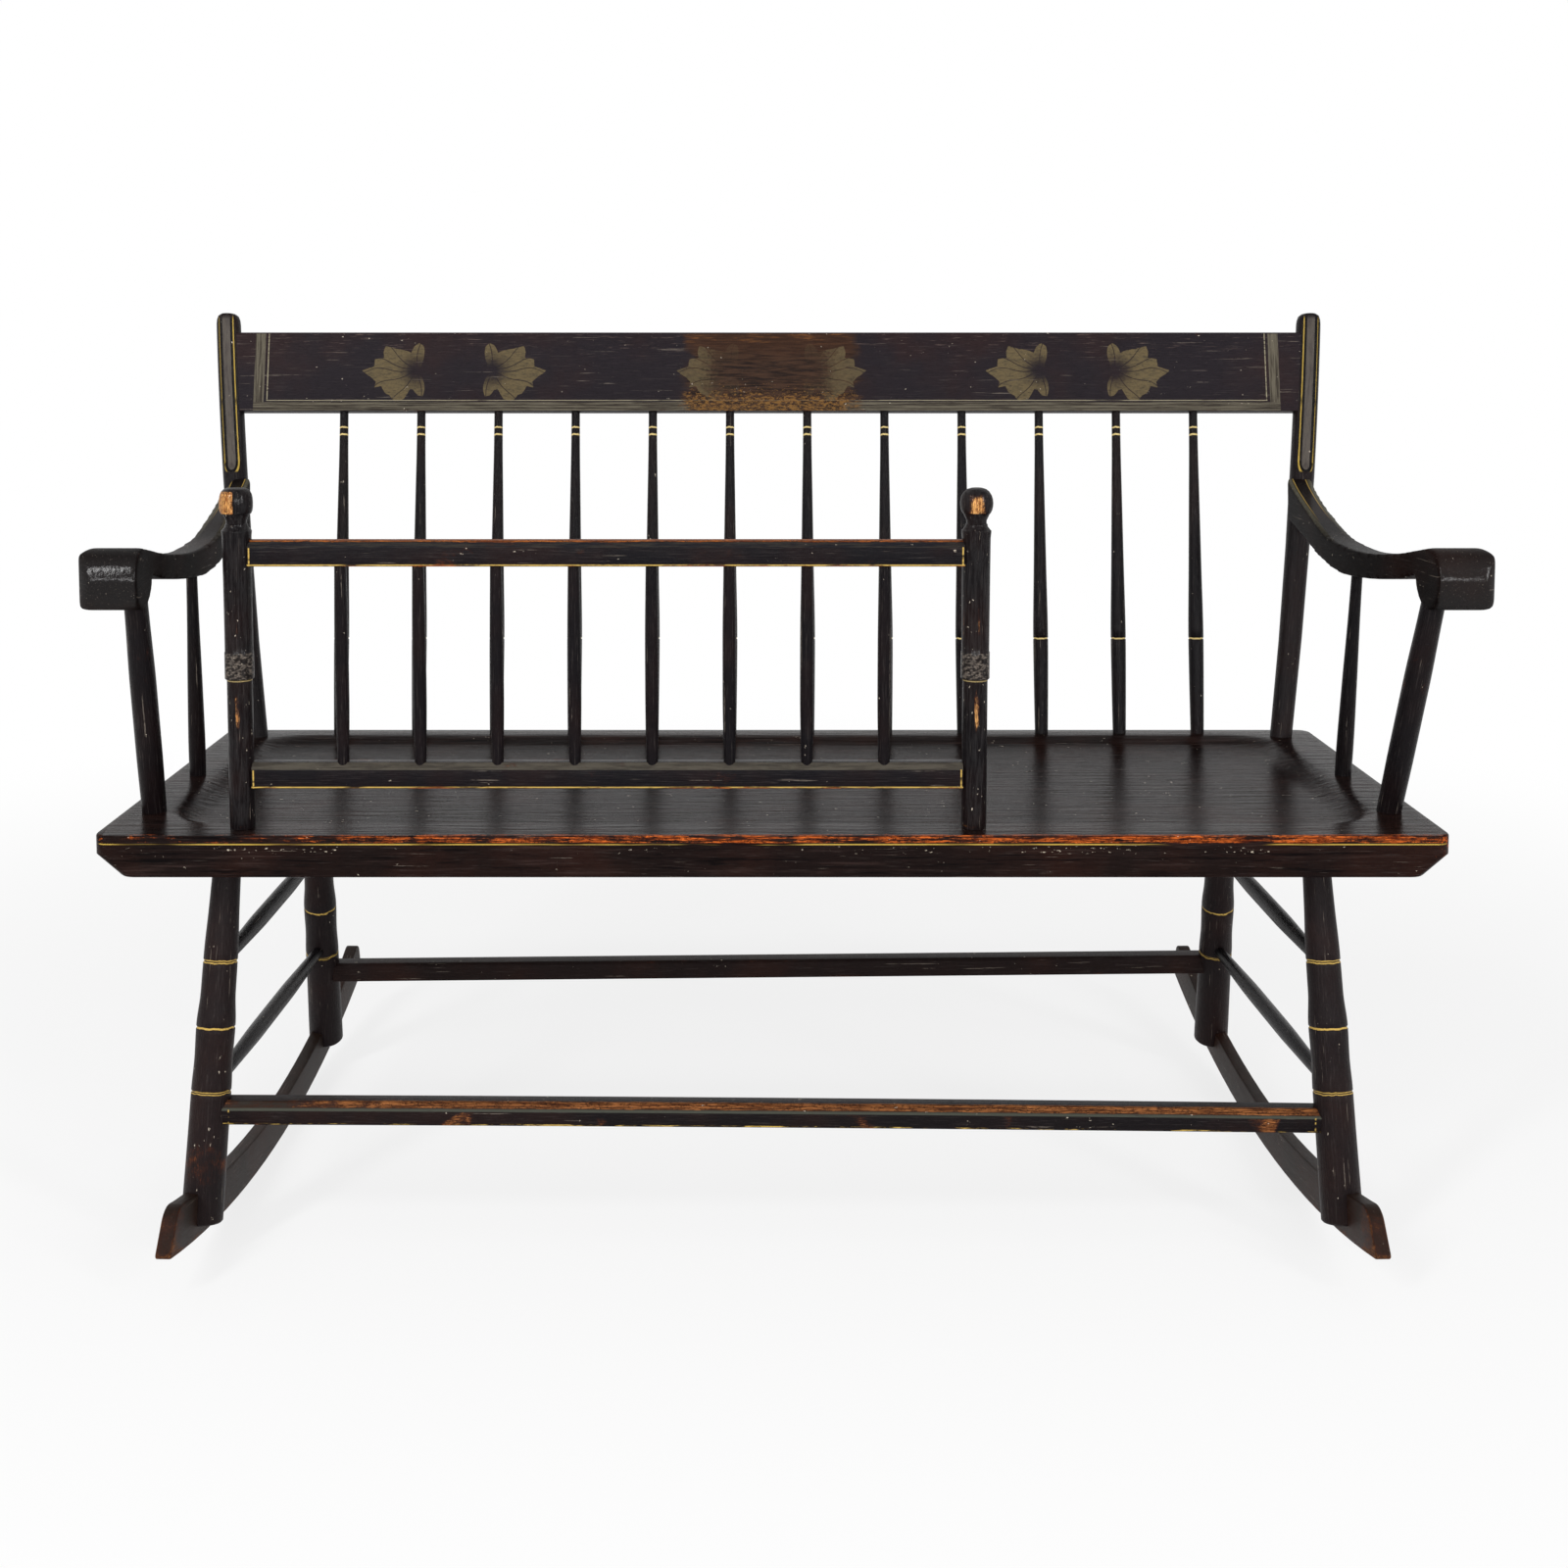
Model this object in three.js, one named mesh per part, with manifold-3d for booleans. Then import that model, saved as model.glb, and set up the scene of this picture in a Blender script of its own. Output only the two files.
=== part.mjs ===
// Rocking bench with a lift-out cradle guard: a painted, stencilled settee on two rockers.
//
// Millimetres, +Z up, +X to the sitter's left as seen from the front (the viewer's right), +Y to the back.
// Inside the bench group the seat's top is z = 0, its front face is y = 0 and its middle is x = 0.
// The root group then puts the middle of the bench's footprint, on the floor, at the origin.
// Every joint is a round or flat tenon in a socket that is cut from the tenon's own shape.

import * as THREE from 'three';
import { mergeVertices, toCreasedNormals } from 'three/addons/utils/BufferGeometryUtils.js';
import Module from 'manifold-3d';

const wasm = await Module();
wasm.setup();

// Clearances
const FIT_GAP = 0.3; // around every glued or pinned joint
const SLIDE_GAP = 0.5; // around the guard's loose tenons
const OVERRUN = 12; // how far a cutter runs past the wood it cuts

// Seat plank
const SEAT_WIDTH = 1270;
const SEAT_DEPTH = 470;
const SEAT_THICKNESS = 40;
const SEAT_HEIGHT = 413; // seat top above the floor
const SEAT_NOSE_RADIUS = 7; // worn round of the top front edge
const SEAT_END_LAND = 19; // upright part of each end, above the undercut
const SEAT_END_UNDERCUT = 24;
const SEAT_CORNER_RADIUS = 14;
const SCOOP_DEPTH = 8;
const SCOOP_SLOPE = 30; // run of the scoop's sloping sides
const SCOOP_FRONT_BORDER = 44;
const SCOOP_BACK_BORDER = 31;
const SCOOP_END_BORDER = 46;
const SCOOP_CORNER_RADIUS = 62;

// Back posts, which lean back together and bow apart
const BACK_RAKE = THREE.MathUtils.degToRad(13.1);
const POST_DIAMETER = 28.6; // from the arm up
const POST_FOOT_DIAMETER = 25;
const POST_END_INSET = 40; // seat end to post
const POST_BACK_INSET = 33; // seat back edge to post
const POST_SPREAD = 54; // how far each post's top stands outside its foot
const POST_BOW = 5;
const POST_HORN = 24; // post above the crest rail
const POST_TENON = 30;
const POST_FACE_CUT = 5; // depth of the flat face shaved above the arm
const POST_TOP_ROUND = 5;

// Crest rail
const CREST_RISE = 382; // up the posts to the rail's lower edge
const CREST_HEIGHT = 96;
const CREST_THICKNESS = 18;
const CREST_EDGE_ROUND = 4;
const CREST_TONGUE_HEIGHT = 60;
const CREST_TONGUE_THICKNESS = 8;
const CREST_PIN_DIAMETER = 6;
const PEG_HEAD_DEPTH = 1; // a peg's head below the back of the post

// Back spindles
const SPINDLE_COUNT = 12;
const SPINDLE_FOOT_GAP = 93.4; // post to the end spindle, along the seat
const SPINDLE_HEAD_GAP = 133.7; // and along the crest rail's lower edge
const SPINDLE_BACK_INSET = 16;
const SPINDLE_FOOT_DIAMETER = 15.4;
const SPINDLE_NODE_DIAMETER = 17.5;
const SPINDLE_HEAD_DIAMETER = 10;
const SPINDLE_FOOT_TENON = 22;
const SPINDLE_HEAD_TENON = 16;
const RING_GROOVE_WIDTH = 3; // of the bamboo rings turned into legs and spindles
const RING_GROOVE_DEPTH = 0.8;

// Arms
const ARM_FRONT = 4; // seat front face to the scroll's front
const ARM_LOW = 216; // lowest point of the arm's underside above the seat
const ARM_RISE = 83; // from there to the top of its back end
const ARM_END_INSET = 38; // seat end in to the arm's innermost edge
const ARM_FLARE = 58; // the unit of the arm's plan widths
const LEFT_ARM_TUCK = 28; // how far the left scroll stands in from the full flare
const ARM_BLANK_WIDTH = 200; // plank that both cuts are made in
const SCROLL_RADIUS = 29.5;
const SCROLL_TOP_ROUND = 13; // worn round of the scroll's outer end
const SCROLL_BOTTOM_ROUND = 8;
const ARM_DOWEL_DIAMETER = 9;
const ARM_DOWEL_GRIP = 22; // how far the dowel reaches into the arm

// Arm supports and short arm spindles
const SUPPORT_END_INSET = 30;
const SUPPORT_FRONT_INSET = 91;
const SUPPORT_FOOT_DIAMETER = 23.4;
const SUPPORT_WAIST_DIAMETER = 24.6;
const SUPPORT_HEAD_DIAMETER = 22;
const SUPPORT_TENON = 22;
const ARM_SPINDLE_END_INSET = 28;
const ARM_SPINDLE_FRONT_INSET = 243;
const ARM_SPINDLE_FOOT_DIAMETER = 17.4;
const ARM_SPINDLE_HEAD_DIAMETER = 11;
const ARM_SPINDLE_TENON = 14;

// Legs
const FRONT_LEG_END_INSET = 104;
const FRONT_LEG_INSET = 81; // from the seat's front face
const FRONT_LEG_RAKE = THREE.MathUtils.degToRad(-11.3);
const REAR_LEG_END_INSET = 118;
const REAR_LEG_INSET = 86; // from the seat's back edge
const REAR_LEG_RAKE = THREE.MathUtils.degToRad(15.7);
const LEG_SPLAY = THREE.MathUtils.degToRad(2.3);
const LEG_TOP_DIAMETER = 26;
const LEG_FOOT_DIAMETER = 39;
const LEG_TENON = 24;
const FRONT_LEG_CLEARANCE = 12; // rocker's bottom edge up to the end of the fork
const REAR_LEG_CLEARANCE = 19;

// Rockers
const ROCKER_RADIUS = 1378;
const ROCKER_CENTRE = 261; // seat front face to the rocker's lowest point
const ROCKER_FRONT_REACH = 343;
const ROCKER_TAIL_REACH = 394;
const ROCKER_HEIGHT = 36;
const ROCKER_TIP_HEIGHT = 43; // it grows taller towards its front tip
const ROCKER_THICKNESS = 14.5;
const ROCKER_OFFSET = 6; // rocker outside the middle of the legs
const ROCKER_TIP_SLANT = 20; // how far its top stands behind its foot
const ROCKER_CORNER_RADIUS = 18;
const ROCKER_TOE_RADIUS = 8; // lower corner of the tip
const ROCKER_FACET = 40; // length of each flat on the rocking edge
const ROCKER_PIN_DIAMETER = 7;

// Stretchers
const CROSS_STRETCHER_HEIGHT = 20;
const CROSS_STRETCHER_DEPTH = 22;
const CROSS_STRETCHER_BEVEL = 3;
const CROSS_TENON_DIAMETER = 14;
const SIDE_STRETCHER_DIAMETER = 17;
const SIDE_STRETCHER_END_DIAMETER = 12.5;
const STRETCHER_END_INSET = 3; // tenon end short of the leg's middle

// Cradle guard
const GUARD_LEFT_INSET = 133; // seat end to the left guard post
const GUARD_SPAN = 693; // between its posts
const GUARD_INSET = 30; // seat front face to the guard's middle plane
const GUARD_HEIGHT = 323;
const GUARD_FOOT_DIAMETER = 23.5;
const GUARD_SHAFT_DIAMETER = 26;
const GUARD_BAND_DIAMETER = 27;
const GUARD_NECK_DIAMETER = 19.6;
const GUARD_BALL_DIAMETER = 31;
const GUARD_BALL_FLAT_DIAMETER = 4;
const GUARD_BAND_STEP = 0.9; // run of the band's edges
const GUARD_TENON_DIAMETER = 17;
const GUARD_TENON_PROUD = 4; // tenon tip below the seat
const GUARD_RAIL_HEIGHT = 24;
const GUARD_RAIL_DEPTH = 18;
const GUARD_RAIL_BEVEL = 6;
const GUARD_RAIL_TENON_DIAMETER = 11;
const GUARD_RAIL_END_INSET = 3;
const GUARD_SPINDLE_COUNT = 8;
const GUARD_SPINDLE_PITCH = 73;
const GUARD_SPINDLE_SHIFT = 5.5; // the row stands a little right of the middle
const GUARD_SPINDLE_DIAMETER = 11;
const GUARD_SPINDLE_SWELL_DIAMETER = 13;
const GUARD_SPINDLE_TENON = 9;

// Facets round each turned piece, and along curves
const LEG_SIDES = 16;
const POST_SIDES = 14;
const SPINDLE_SIDES = 10;
const SLIM_SIDES = 8;
const PIN_SIDES = 6;
const CURVE_STEPS = 12;
const ARM_STEPS = 15;
const SOLVER_STEPS = 12;
const ARC_STEPS = 4; // along each round corner
const SCOOP_STEPS = 3;
const CREASE_ANGLE = THREE.MathUtils.degToRad(35);

// Places along a piece, as shares of its length or height
const LEG_RING_SHARES = [0.294, 0.475, 0.649];
const LEG_RING_WIDTH_SHARES = [0.83, 0.945, 0.96]; // of the foot's diameter
const LEG_WAIST_SHARE = 0.965; // how slim the wood is between two rings
const FRONT_STRETCHER_SHARE = 0.712;
const REAR_STRETCHER_SHARE = 0.71;
const UPPER_STRETCHER_SHARES = [0.306, 0.27]; // along the front leg, and along the rear leg
const LOWER_STRETCHER_SHARES = [0.643, 0.635];
const SIDE_STRETCHER_SWELL_SHARES = [0.38, 0.62];
const SPINDLE_NODE_SHARE = 0.29;
const GUARD_BAND_SHARES = [0.44, 0.52];
const GUARD_TOP_RAIL_SHARE = 0.81;
const GUARD_BOTTOM_RAIL_SHARE = 0.158;
const GUARD_SHOULDER_SHARE = 0.87;
const GUARD_NECK_SHARE = 0.893;
const GUARD_BALL_SHARE = 0.952;
const GUARD_SPINDLE_SHARES = [0.03, 0.35, 0.6, 0.97]; // slim, swelling, thick, slim again
const GUARD_BALL_TURNS = [-0.24, -0.08, 0.08, 0.23, 0.37]; // latitudes of its outline, in half turns
const SUPPORT_WAIST_SHARES = [0.3, 0.62];
const SUPPORT_HEAD_WIDTH_SHARE = 0.52; // of ARM_FLARE
const SUPPORT_HEAD_RUN_SHARE = 1.5; // of SCROLL_RADIUS
const SUPPORT_HEAD_DROP_SHARE = 0.9; // of SCROLL_RADIUS
const ARM_SPINDLE_FOOT_SHARE = 0.12;
const ARM_SPINDLE_HEAD_WIDTH_SHARE = 0.3; // of ARM_FLARE
const ARM_SPINDLE_HEAD_RUN_SHARE = 0.466; // of the arm's run
const ARM_JOINT_SHARE = 0.7; // of ARM_RISE, where the arm's dowel is
const SCROLL_CENTRE_SHARE = 0.25; // of ARM_RISE
// The arm's side view: [share of its run from the front, share of ARM_RISE above ARM_LOW]
const ARM_TOP_SHARES = [[1.03, 1.04], [0.944, 0.88], [0.84, 0.74], [0.7, 0.565], [0.564, 0.4], [0.45, 0.352],
  [0.33, 0.356], [0.2, 0.44], [0.124, 0.53]];
const ARM_UNDER_SHARES = [[0.176, 0.157], [0.316, 0.048], [0.466, 0], [0.614, 0.078], [0.756, 0.217],
  [0.9, 0.33], [1.03, 0.405]];
// The arm's plan: [share of its run, share of ARM_FLARE outside its innermost edge]
const ARM_INNER_SHARES = [[0, 0.345], [0.11, 0.29], [0.21, 0.155], [0.41, 0], [0.61, 0], [0.81, 0.12],
  [1.06, 0.31]];
const ARM_OUTER_SHARES = [[1.06, 0.83], [0.81, 0.56], [0.61, 0.475], [0.46, 0.483], [0.31, 0.53],
  [0.21, 0.75], [0.11, 1.2], [0.055, 1.33], [0.018, 1.28], [0, 1.13]];

// Worked out from the sizes above
const POST_RADIUS = POST_DIAMETER / 2;
const POST_LENGTH = CREST_RISE + CREST_HEIGHT + POST_HORN;
const POST_FACE_START = (ARM_LOW + ARM_RISE) / Math.cos(BACK_RAKE);
const POST_FOOT_X = SEAT_WIDTH / 2 - POST_END_INSET;
const POST_FOOT_Y = SEAT_DEPTH - POST_BACK_INSET;
const ARM_JOINT_HEIGHT = ARM_LOW + ARM_RISE * ARM_JOINT_SHARE;
const ARM_RUN = POST_FOOT_Y + ARM_JOINT_HEIGHT * Math.tan(BACK_RAKE) - ARM_FRONT;
const ARM_INNER_X = SEAT_WIDTH / 2 - ARM_END_INSET;
const SCROLL_CENTRE_Y = ARM_FRONT + SCROLL_RADIUS;
const SCROLL_CENTRE_Z = ARM_LOW + ARM_RISE * SCROLL_CENTRE_SHARE;
const GUARD_LEFT_X = GUARD_LEFT_INSET - SEAT_WIDTH / 2;
const SIDES = [['left', -1], ['right', 1]];

// Colours: aged black paint over a red-brown ground
const BLACK_PAINT = { color: 0x201a19, roughness: 0.42 };
const SEAT_PAINT = { color: 0x2a211f, roughness: 0.36 };
const STENCILLED_PAINT = { color: 0x241a1c, roughness: 0.5 };
const WORN_PAINT = { color: 0x32231a, roughness: 0.5 };

// Geometry helpers

// Keeps positions only, with shared corners merged and empty triangles dropped.
function welded(geometry) {
  geometry.deleteAttribute('normal');
  geometry.deleteAttribute('uv');
  const merged = mergeVertices(geometry);
  const index = merged.index.array;
  const kept = [];
  for (let i = 0; i < index.length; i += 3) {
    const [a, b, c] = index.subarray(i, i + 3);
    if (a !== b && b !== c && c !== a) kept.push(a, b, c);
  }
  merged.setIndex(kept);
  return merged;
}

function toSolid(geometry) {
  const vertProperties = new Float32Array(geometry.attributes.position.array);
  const triVerts = new Uint32Array(geometry.index.array);
  return new wasm.Manifold(new wasm.Mesh({ numProp: 3, vertProperties, triVerts }));
}

function toGeometry(solid) {
  const { vertProperties, triVerts } = solid.getMesh();
  const geometry = new THREE.BufferGeometry();
  geometry.setAttribute('position', new THREE.BufferAttribute(new Float32Array(vertProperties), 3));
  geometry.setIndex(new THREE.BufferAttribute(new Uint32Array(triVerts), 1));
  return geometry;
}

function intersection(first, ...rest) {
  return toGeometry(rest.reduce((solid, other) => solid.intersect(toSolid(other)), toSolid(first)));
}

function union(first, ...rest) {
  return toGeometry(rest.reduce((solid, other) => solid.add(toSolid(other)), toSolid(first)));
}

// The same shape seen in a mirror across x = 0, with its faces still pointing out.
function mirrored(geometry) {
  const twin = geometry.clone().scale(-1, 1, 1);
  const index = twin.index.array;
  for (let i = 0; i < index.length; i += 3) [index[i], index[i + 1]] = [index[i + 1], index[i]];
  return twin;
}

// A solid turned round the z axis from a profile of [radius, z] pairs, lowest first.
// grow makes it fatter and longer all round, for the socket that it sits in.
function turned(profile, sides, grow = 0) {
  const first = profile[0][1] - grow;
  const last = profile[profile.length - 1][1] + grow;
  const outline = profile.map(([radius, z]) => new THREE.Vector2(radius + grow, z));
  outline[0].y = first;
  outline[outline.length - 1].y = last;
  const points = [new THREE.Vector2(0, first), ...outline, new THREE.Vector2(0, last)];
  return welded(new THREE.LatheGeometry(points, sides).rotateX(Math.PI / 2));
}

function extruded(shape, depth, options = {}) {
  const settings = { depth, bevelEnabled: false, curveSegments: ARC_STEPS, ...options };
  return welded(new THREE.ExtrudeGeometry(shape, settings));
}

// A shape drawn in plan (x, y), standing on z = 0.
function fromPlan(shape, height, options) {
  return extruded(shape, height, options);
}

// A shape drawn in side view (y, z), with its thickness centred on x = 0.
function fromSide(shape, thickness) {
  const turn = new THREE.Matrix4().makeBasis(
    new THREE.Vector3(0, 1, 0),
    new THREE.Vector3(0, 0, 1),
    new THREE.Vector3(1, 0, 0),
  );
  return extruded(shape, thickness).applyMatrix4(turn).translate(-thickness / 2, 0, 0);
}

// A shape drawn in front view (x, z), running back from y = 0.
function fromFront(shape, depth) {
  return extruded(shape, depth).rotateX(Math.PI / 2).translate(0, depth, 0);
}

function polygon(points) {
  return new THREE.Shape(points.map(([x, y]) => new THREE.Vector2(x, y)));
}

function roundedRectangle(left, bottom, right, top, radius) {
  const shape = new THREE.Shape();
  shape.moveTo(left + radius, bottom);
  shape.lineTo(right - radius, bottom);
  shape.absarc(right - radius, bottom + radius, radius, -Math.PI / 2, 0);
  shape.lineTo(right, top - radius);
  shape.absarc(right - radius, top - radius, radius, 0, Math.PI / 2);
  shape.lineTo(left + radius, top);
  shape.absarc(left + radius, top - radius, radius, Math.PI / 2, Math.PI);
  shape.lineTo(left, bottom + radius);
  shape.absarc(left + radius, bottom + radius, radius, Math.PI, Math.PI * 1.5);
  return shape;
}

// Pieces

const root = new THREE.Group();
const bench = new THREE.Group();
const back = new THREE.Group(); // leans with the posts
const guard = new THREE.Group();
root.add(bench);
bench.add(back, guard);
back.position.y = POST_FOOT_Y;
back.rotation.x = -BACK_RAKE;
guard.position.set(GUARD_LEFT_X, GUARD_INSET, FIT_GAP);
root.updateMatrixWorld(true);

// Adds a piece whose shape is a function of how much to grow it.
function addPiece(parent, name, paint, shape) {
  const mesh = new THREE.Mesh(shape(0), new THREE.MeshStandardMaterial({ ...paint, metalness: 0 }));
  mesh.name = name;
  mesh.userData.shape = shape;
  parent.add(mesh);
  mesh.updateWorldMatrix(true, false);
  return mesh;
}

// Adds a turned piece between two points of its parent; its profile runs along z from the first.
function addTurned(parent, name, paint, from, to, profile, sides) {
  const mesh = addPiece(parent, name, paint, (grow) => turned(profile, sides, grow));
  const direction = to.clone().sub(from).normalize();
  mesh.position.copy(from);
  mesh.quaternion.setFromUnitVectors(new THREE.Vector3(0, 0, 1), direction);
  mesh.updateWorldMatrix(true, false);
  return mesh;
}

// The piece's own shape, grown by the gap and moved into the host's frame.
function cutterFor(host, guest, gap) {
  const toHost = host.matrixWorld.clone().invert().multiply(guest.matrixWorld);
  return toSolid(guest.userData.shape(gap).applyMatrix4(toHost));
}

// Cuts the sockets that hold the guests out of the host.
function seatIn(host, guests, gap = FIT_GAP) {
  let solid = toSolid(host.geometry);
  for (const guest of guests) solid = solid.subtract(cutterFor(host, guest, gap));
  host.geometry = toGeometry(solid);
}

function seatShape() {
  const half = SEAT_WIDTH / 2;
  const plan = roundedRectangle(-half, -SEAT_DEPTH, half, SEAT_DEPTH, SEAT_CORNER_RADIUS);
  const ends = polygon([
    [SEAT_END_UNDERCUT - half, -SEAT_THICKNESS],
    [half - SEAT_END_UNDERCUT, -SEAT_THICKNESS],
    [half, -SEAT_END_LAND],
    [half, 0],
    [-half, 0],
    [-half, -SEAT_END_LAND],
  ]);
  const nose = new THREE.Shape();
  nose.moveTo(0, -SEAT_THICKNESS);
  nose.lineTo(SEAT_DEPTH, -SEAT_THICKNESS);
  nose.lineTo(SEAT_DEPTH, 0);
  nose.lineTo(SEAT_NOSE_RADIUS, 0);
  nose.absarc(SEAT_NOSE_RADIUS, -SEAT_NOSE_RADIUS, SEAT_NOSE_RADIUS, Math.PI / 2, Math.PI);
  const board = intersection(
    fromSide(nose, SEAT_WIDTH),
    fromFront(ends, SEAT_DEPTH),
    fromPlan(plan, SEAT_THICKNESS).translate(0, 0, -SEAT_THICKNESS),
  );
  return toGeometry(toSolid(board).subtract(toSolid(scoopCutter())));
}

// The shallow dish in the seat: its slope is the bevel of an outline extruded upwards.
function scoopCutter() {
  const half = SEAT_WIDTH / 2 - SCOOP_END_BORDER;
  const top = SEAT_DEPTH - SCOOP_BACK_BORDER;
  const outline = roundedRectangle(-half, SCOOP_FRONT_BORDER, half, top, SCOOP_CORNER_RADIUS);
  return fromPlan(outline, OVERRUN, {
    bevelEnabled: true,
    bevelThickness: SCOOP_DEPTH,
    bevelSize: SCOOP_SLOPE,
    bevelOffset: -SCOOP_SLOPE,
    bevelSegments: SCOOP_STEPS,
  });
}

// Where a post's middle line stands sideways, at a height up the lean.
function postX(z) {
  const share = z / POST_LENGTH;
  return POST_FOOT_X + POST_SPREAD * share + 4 * POST_BOW * share * (1 - share);
}

function postBody(grow) {
  const profile = [[POST_FOOT_DIAMETER / 2, -POST_TENON]];
  for (let step = 0; step < CURVE_STEPS; step += 1) {
    const z = ((POST_LENGTH - POST_TOP_ROUND) * step) / (CURVE_STEPS - 1);
    const swell = Math.min(z / POST_FACE_START, 1);
    profile.push([THREE.MathUtils.lerp(POST_FOOT_DIAMETER / 2, POST_RADIUS, swell), z]);
  }
  profile.push([POST_RADIUS - POST_TOP_ROUND / 2, POST_LENGTH]);
  const body = turned(profile, POST_SIDES, grow);
  const position = body.attributes.position;
  for (let i = 0; i < position.count; i += 1) position.setX(i, position.getX(i) + postX(position.getZ(i)));
  return body;
}

// A post with its front shaved flat from the arm up.
function postShape(grow) {
  const flat = POST_RADIUS - POST_FACE_CUT + grow;
  const outside = POST_RADIUS + OVERRUN;
  const shaving = polygon([
    [-outside, POST_FACE_START],
    [-POST_RADIUS - grow, POST_FACE_START],
    [-flat, POST_FACE_START + POST_RADIUS],
    [-flat, POST_LENGTH + OVERRUN],
    [-outside, POST_LENGTH + OVERRUN],
  ]);
  const cutter = fromSide(shaving, POST_DIAMETER + OVERRUN).translate(postX(POST_LENGTH), 0, 0);
  return toGeometry(toSolid(postBody(grow)).subtract(toSolid(cutter)));
}

// The crest rail's board and the tongue that runs into both posts.
function crestBoard() {
  const half = postX(CREST_RISE + CREST_HEIGHT);
  const y = CREST_THICKNESS / 2;
  const section = new THREE.Shape();
  section.moveTo(-y, CREST_RISE);
  section.lineTo(y, CREST_RISE);
  section.lineTo(y, CREST_RISE + CREST_HEIGHT - CREST_EDGE_ROUND);
  section.lineTo(y - CREST_EDGE_ROUND, CREST_RISE + CREST_HEIGHT);
  section.lineTo(CREST_EDGE_ROUND - y, CREST_RISE + CREST_HEIGHT);
  section.lineTo(-y, CREST_RISE + CREST_HEIGHT - CREST_EDGE_ROUND);
  return fromSide(section, 2 * half);
}

function crestTongue(grow) {
  const middle = CREST_RISE + CREST_HEIGHT / 2;
  const height = CREST_TONGUE_HEIGHT + 2 * grow;
  const length = 2 * (postX(middle) + grow);
  const tongue = new THREE.BoxGeometry(length, CREST_TONGUE_THICKNESS + 2 * grow, height);
  return welded(tongue.translate(0, 0, middle));
}

function addBack() {
  const crest = addPiece(back, 'crest_rail', STENCILLED_PAINT, crestBoard);
  const pinHeight = CREST_RISE + CREST_HEIGHT / 2;
  const dowelHeight = ARM_JOINT_HEIGHT / Math.cos(BACK_RAKE);
  const tongue = { matrixWorld: crest.matrixWorld, userData: { shape: crestTongue } };
  const posts = {};
  const dowels = {};
  const pins = [];
  for (const [side, sign] of SIDES) {
    const shape = (grow) => (sign > 0 ? postShape(grow) : mirrored(postShape(grow)));
    posts[side] = addPiece(back, `back_post_${side}`, BLACK_PAINT, shape);
    const pinX = sign * (postX(pinHeight) - POST_RADIUS / 2);
    pins.push(addPeg(back, `crest_pin_${side}`, CREST_PIN_DIAMETER, pinX, pinHeight, CREST_THICKNESS / 2));
    const dowelX = sign * postX(dowelHeight);
    const grip = POST_RADIUS + ARM_DOWEL_GRIP;
    dowels[side] = addPeg(back, `arm_dowel_${side}`, ARM_DOWEL_DIAMETER, dowelX, dowelHeight, grip);
  }
  seatIn(crest, Object.values(posts));
  crest.geometry = union(crest.geometry, crestTongue(0));
  seatIn(crest, pins);
  for (const [index, [side]] of SIDES.entries()) seatIn(posts[side], [tongue, pins[index], dowels[side]]);
  return { crest, posts, dowels };
}

// A peg driven in from behind a post. Its tip stands that far in front of the post's middle line.
function addPeg(parent, name, diameter, x, z, reach) {
  const headDepth = POST_RADIUS - PEG_HEAD_DEPTH;
  const tail = new THREE.Vector3(x, headDepth, z);
  const tip = new THREE.Vector3(x, -reach, z);
  const profile = [[diameter / 2, 0], [diameter / 2, headDepth + reach]];
  return addTurned(parent, name, WORN_PAINT, tail, tip, profile, PIN_SIDES);
}

// A point of the leaning back, in the bench's frame.
function onBack(x, z) {
  return new THREE.Vector3(x, 0, z).applyMatrix4(back.matrix);
}

function grooved(radius, z) {
  return [
    [radius, z - RING_GROOVE_WIDTH / 2],
    [radius - RING_GROOVE_DEPTH, z],
    [radius, z + RING_GROOVE_WIDTH / 2],
  ];
}

function addBackSpindles() {
  const spindles = [];
  const footReach = POST_FOOT_X - SPINDLE_FOOT_GAP;
  const headReach = postX(CREST_RISE) - SPINDLE_HEAD_GAP;
  for (let i = 0; i < SPINDLE_COUNT; i += 1) {
    const place = (2 * i) / (SPINDLE_COUNT - 1) - 1;
    const foot = new THREE.Vector3(place * footReach, SEAT_DEPTH - SPINDLE_BACK_INSET, 0);
    const head = onBack(place * headReach, CREST_RISE);
    const length = foot.distanceTo(head);
    const profile = [
      [SPINDLE_FOOT_DIAMETER / 2, -SPINDLE_FOOT_TENON],
      [SPINDLE_FOOT_DIAMETER / 2, 0],
      ...grooved(SPINDLE_NODE_DIAMETER / 2, length * SPINDLE_NODE_SHARE),
      [SPINDLE_HEAD_DIAMETER / 2, length - SPINDLE_HEAD_TENON / 2],
      [SPINDLE_HEAD_DIAMETER / 2, length + SPINDLE_HEAD_TENON],
    ];
    const name = `back_spindle_${String(i + 1).padStart(2, '0')}`;
    spindles.push(addTurned(bench, name, BLACK_PAINT, foot, head, profile, SPINDLE_SIDES));
  }
  return spindles;
}

// The arm seen from the side: an S with a roll at its front end.
function armSideView() {
  const place = ([run, rise]) => new THREE.Vector2(ARM_FRONT + ARM_RUN * run, ARM_LOW + ARM_RISE * rise);
  const scrollTop = new THREE.Vector2(SCROLL_CENTRE_Y, SCROLL_CENTRE_Z + SCROLL_RADIUS);
  const top = new THREE.SplineCurve([...ARM_TOP_SHARES.map(place), scrollTop]).getPoints(ARM_STEPS);
  const scroll = new THREE.EllipseCurve(SCROLL_CENTRE_Y, SCROLL_CENTRE_Z, SCROLL_RADIUS, SCROLL_RADIUS,
    Math.PI / 2, Math.PI * 2);
  const under = new THREE.SplineCurve(ARM_UNDER_SHARES.map(place)).getPoints(CURVE_STEPS);
  return new THREE.Shape([...top, ...scroll.getPoints(CURVE_STEPS).slice(1), ...under]);
}

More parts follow.
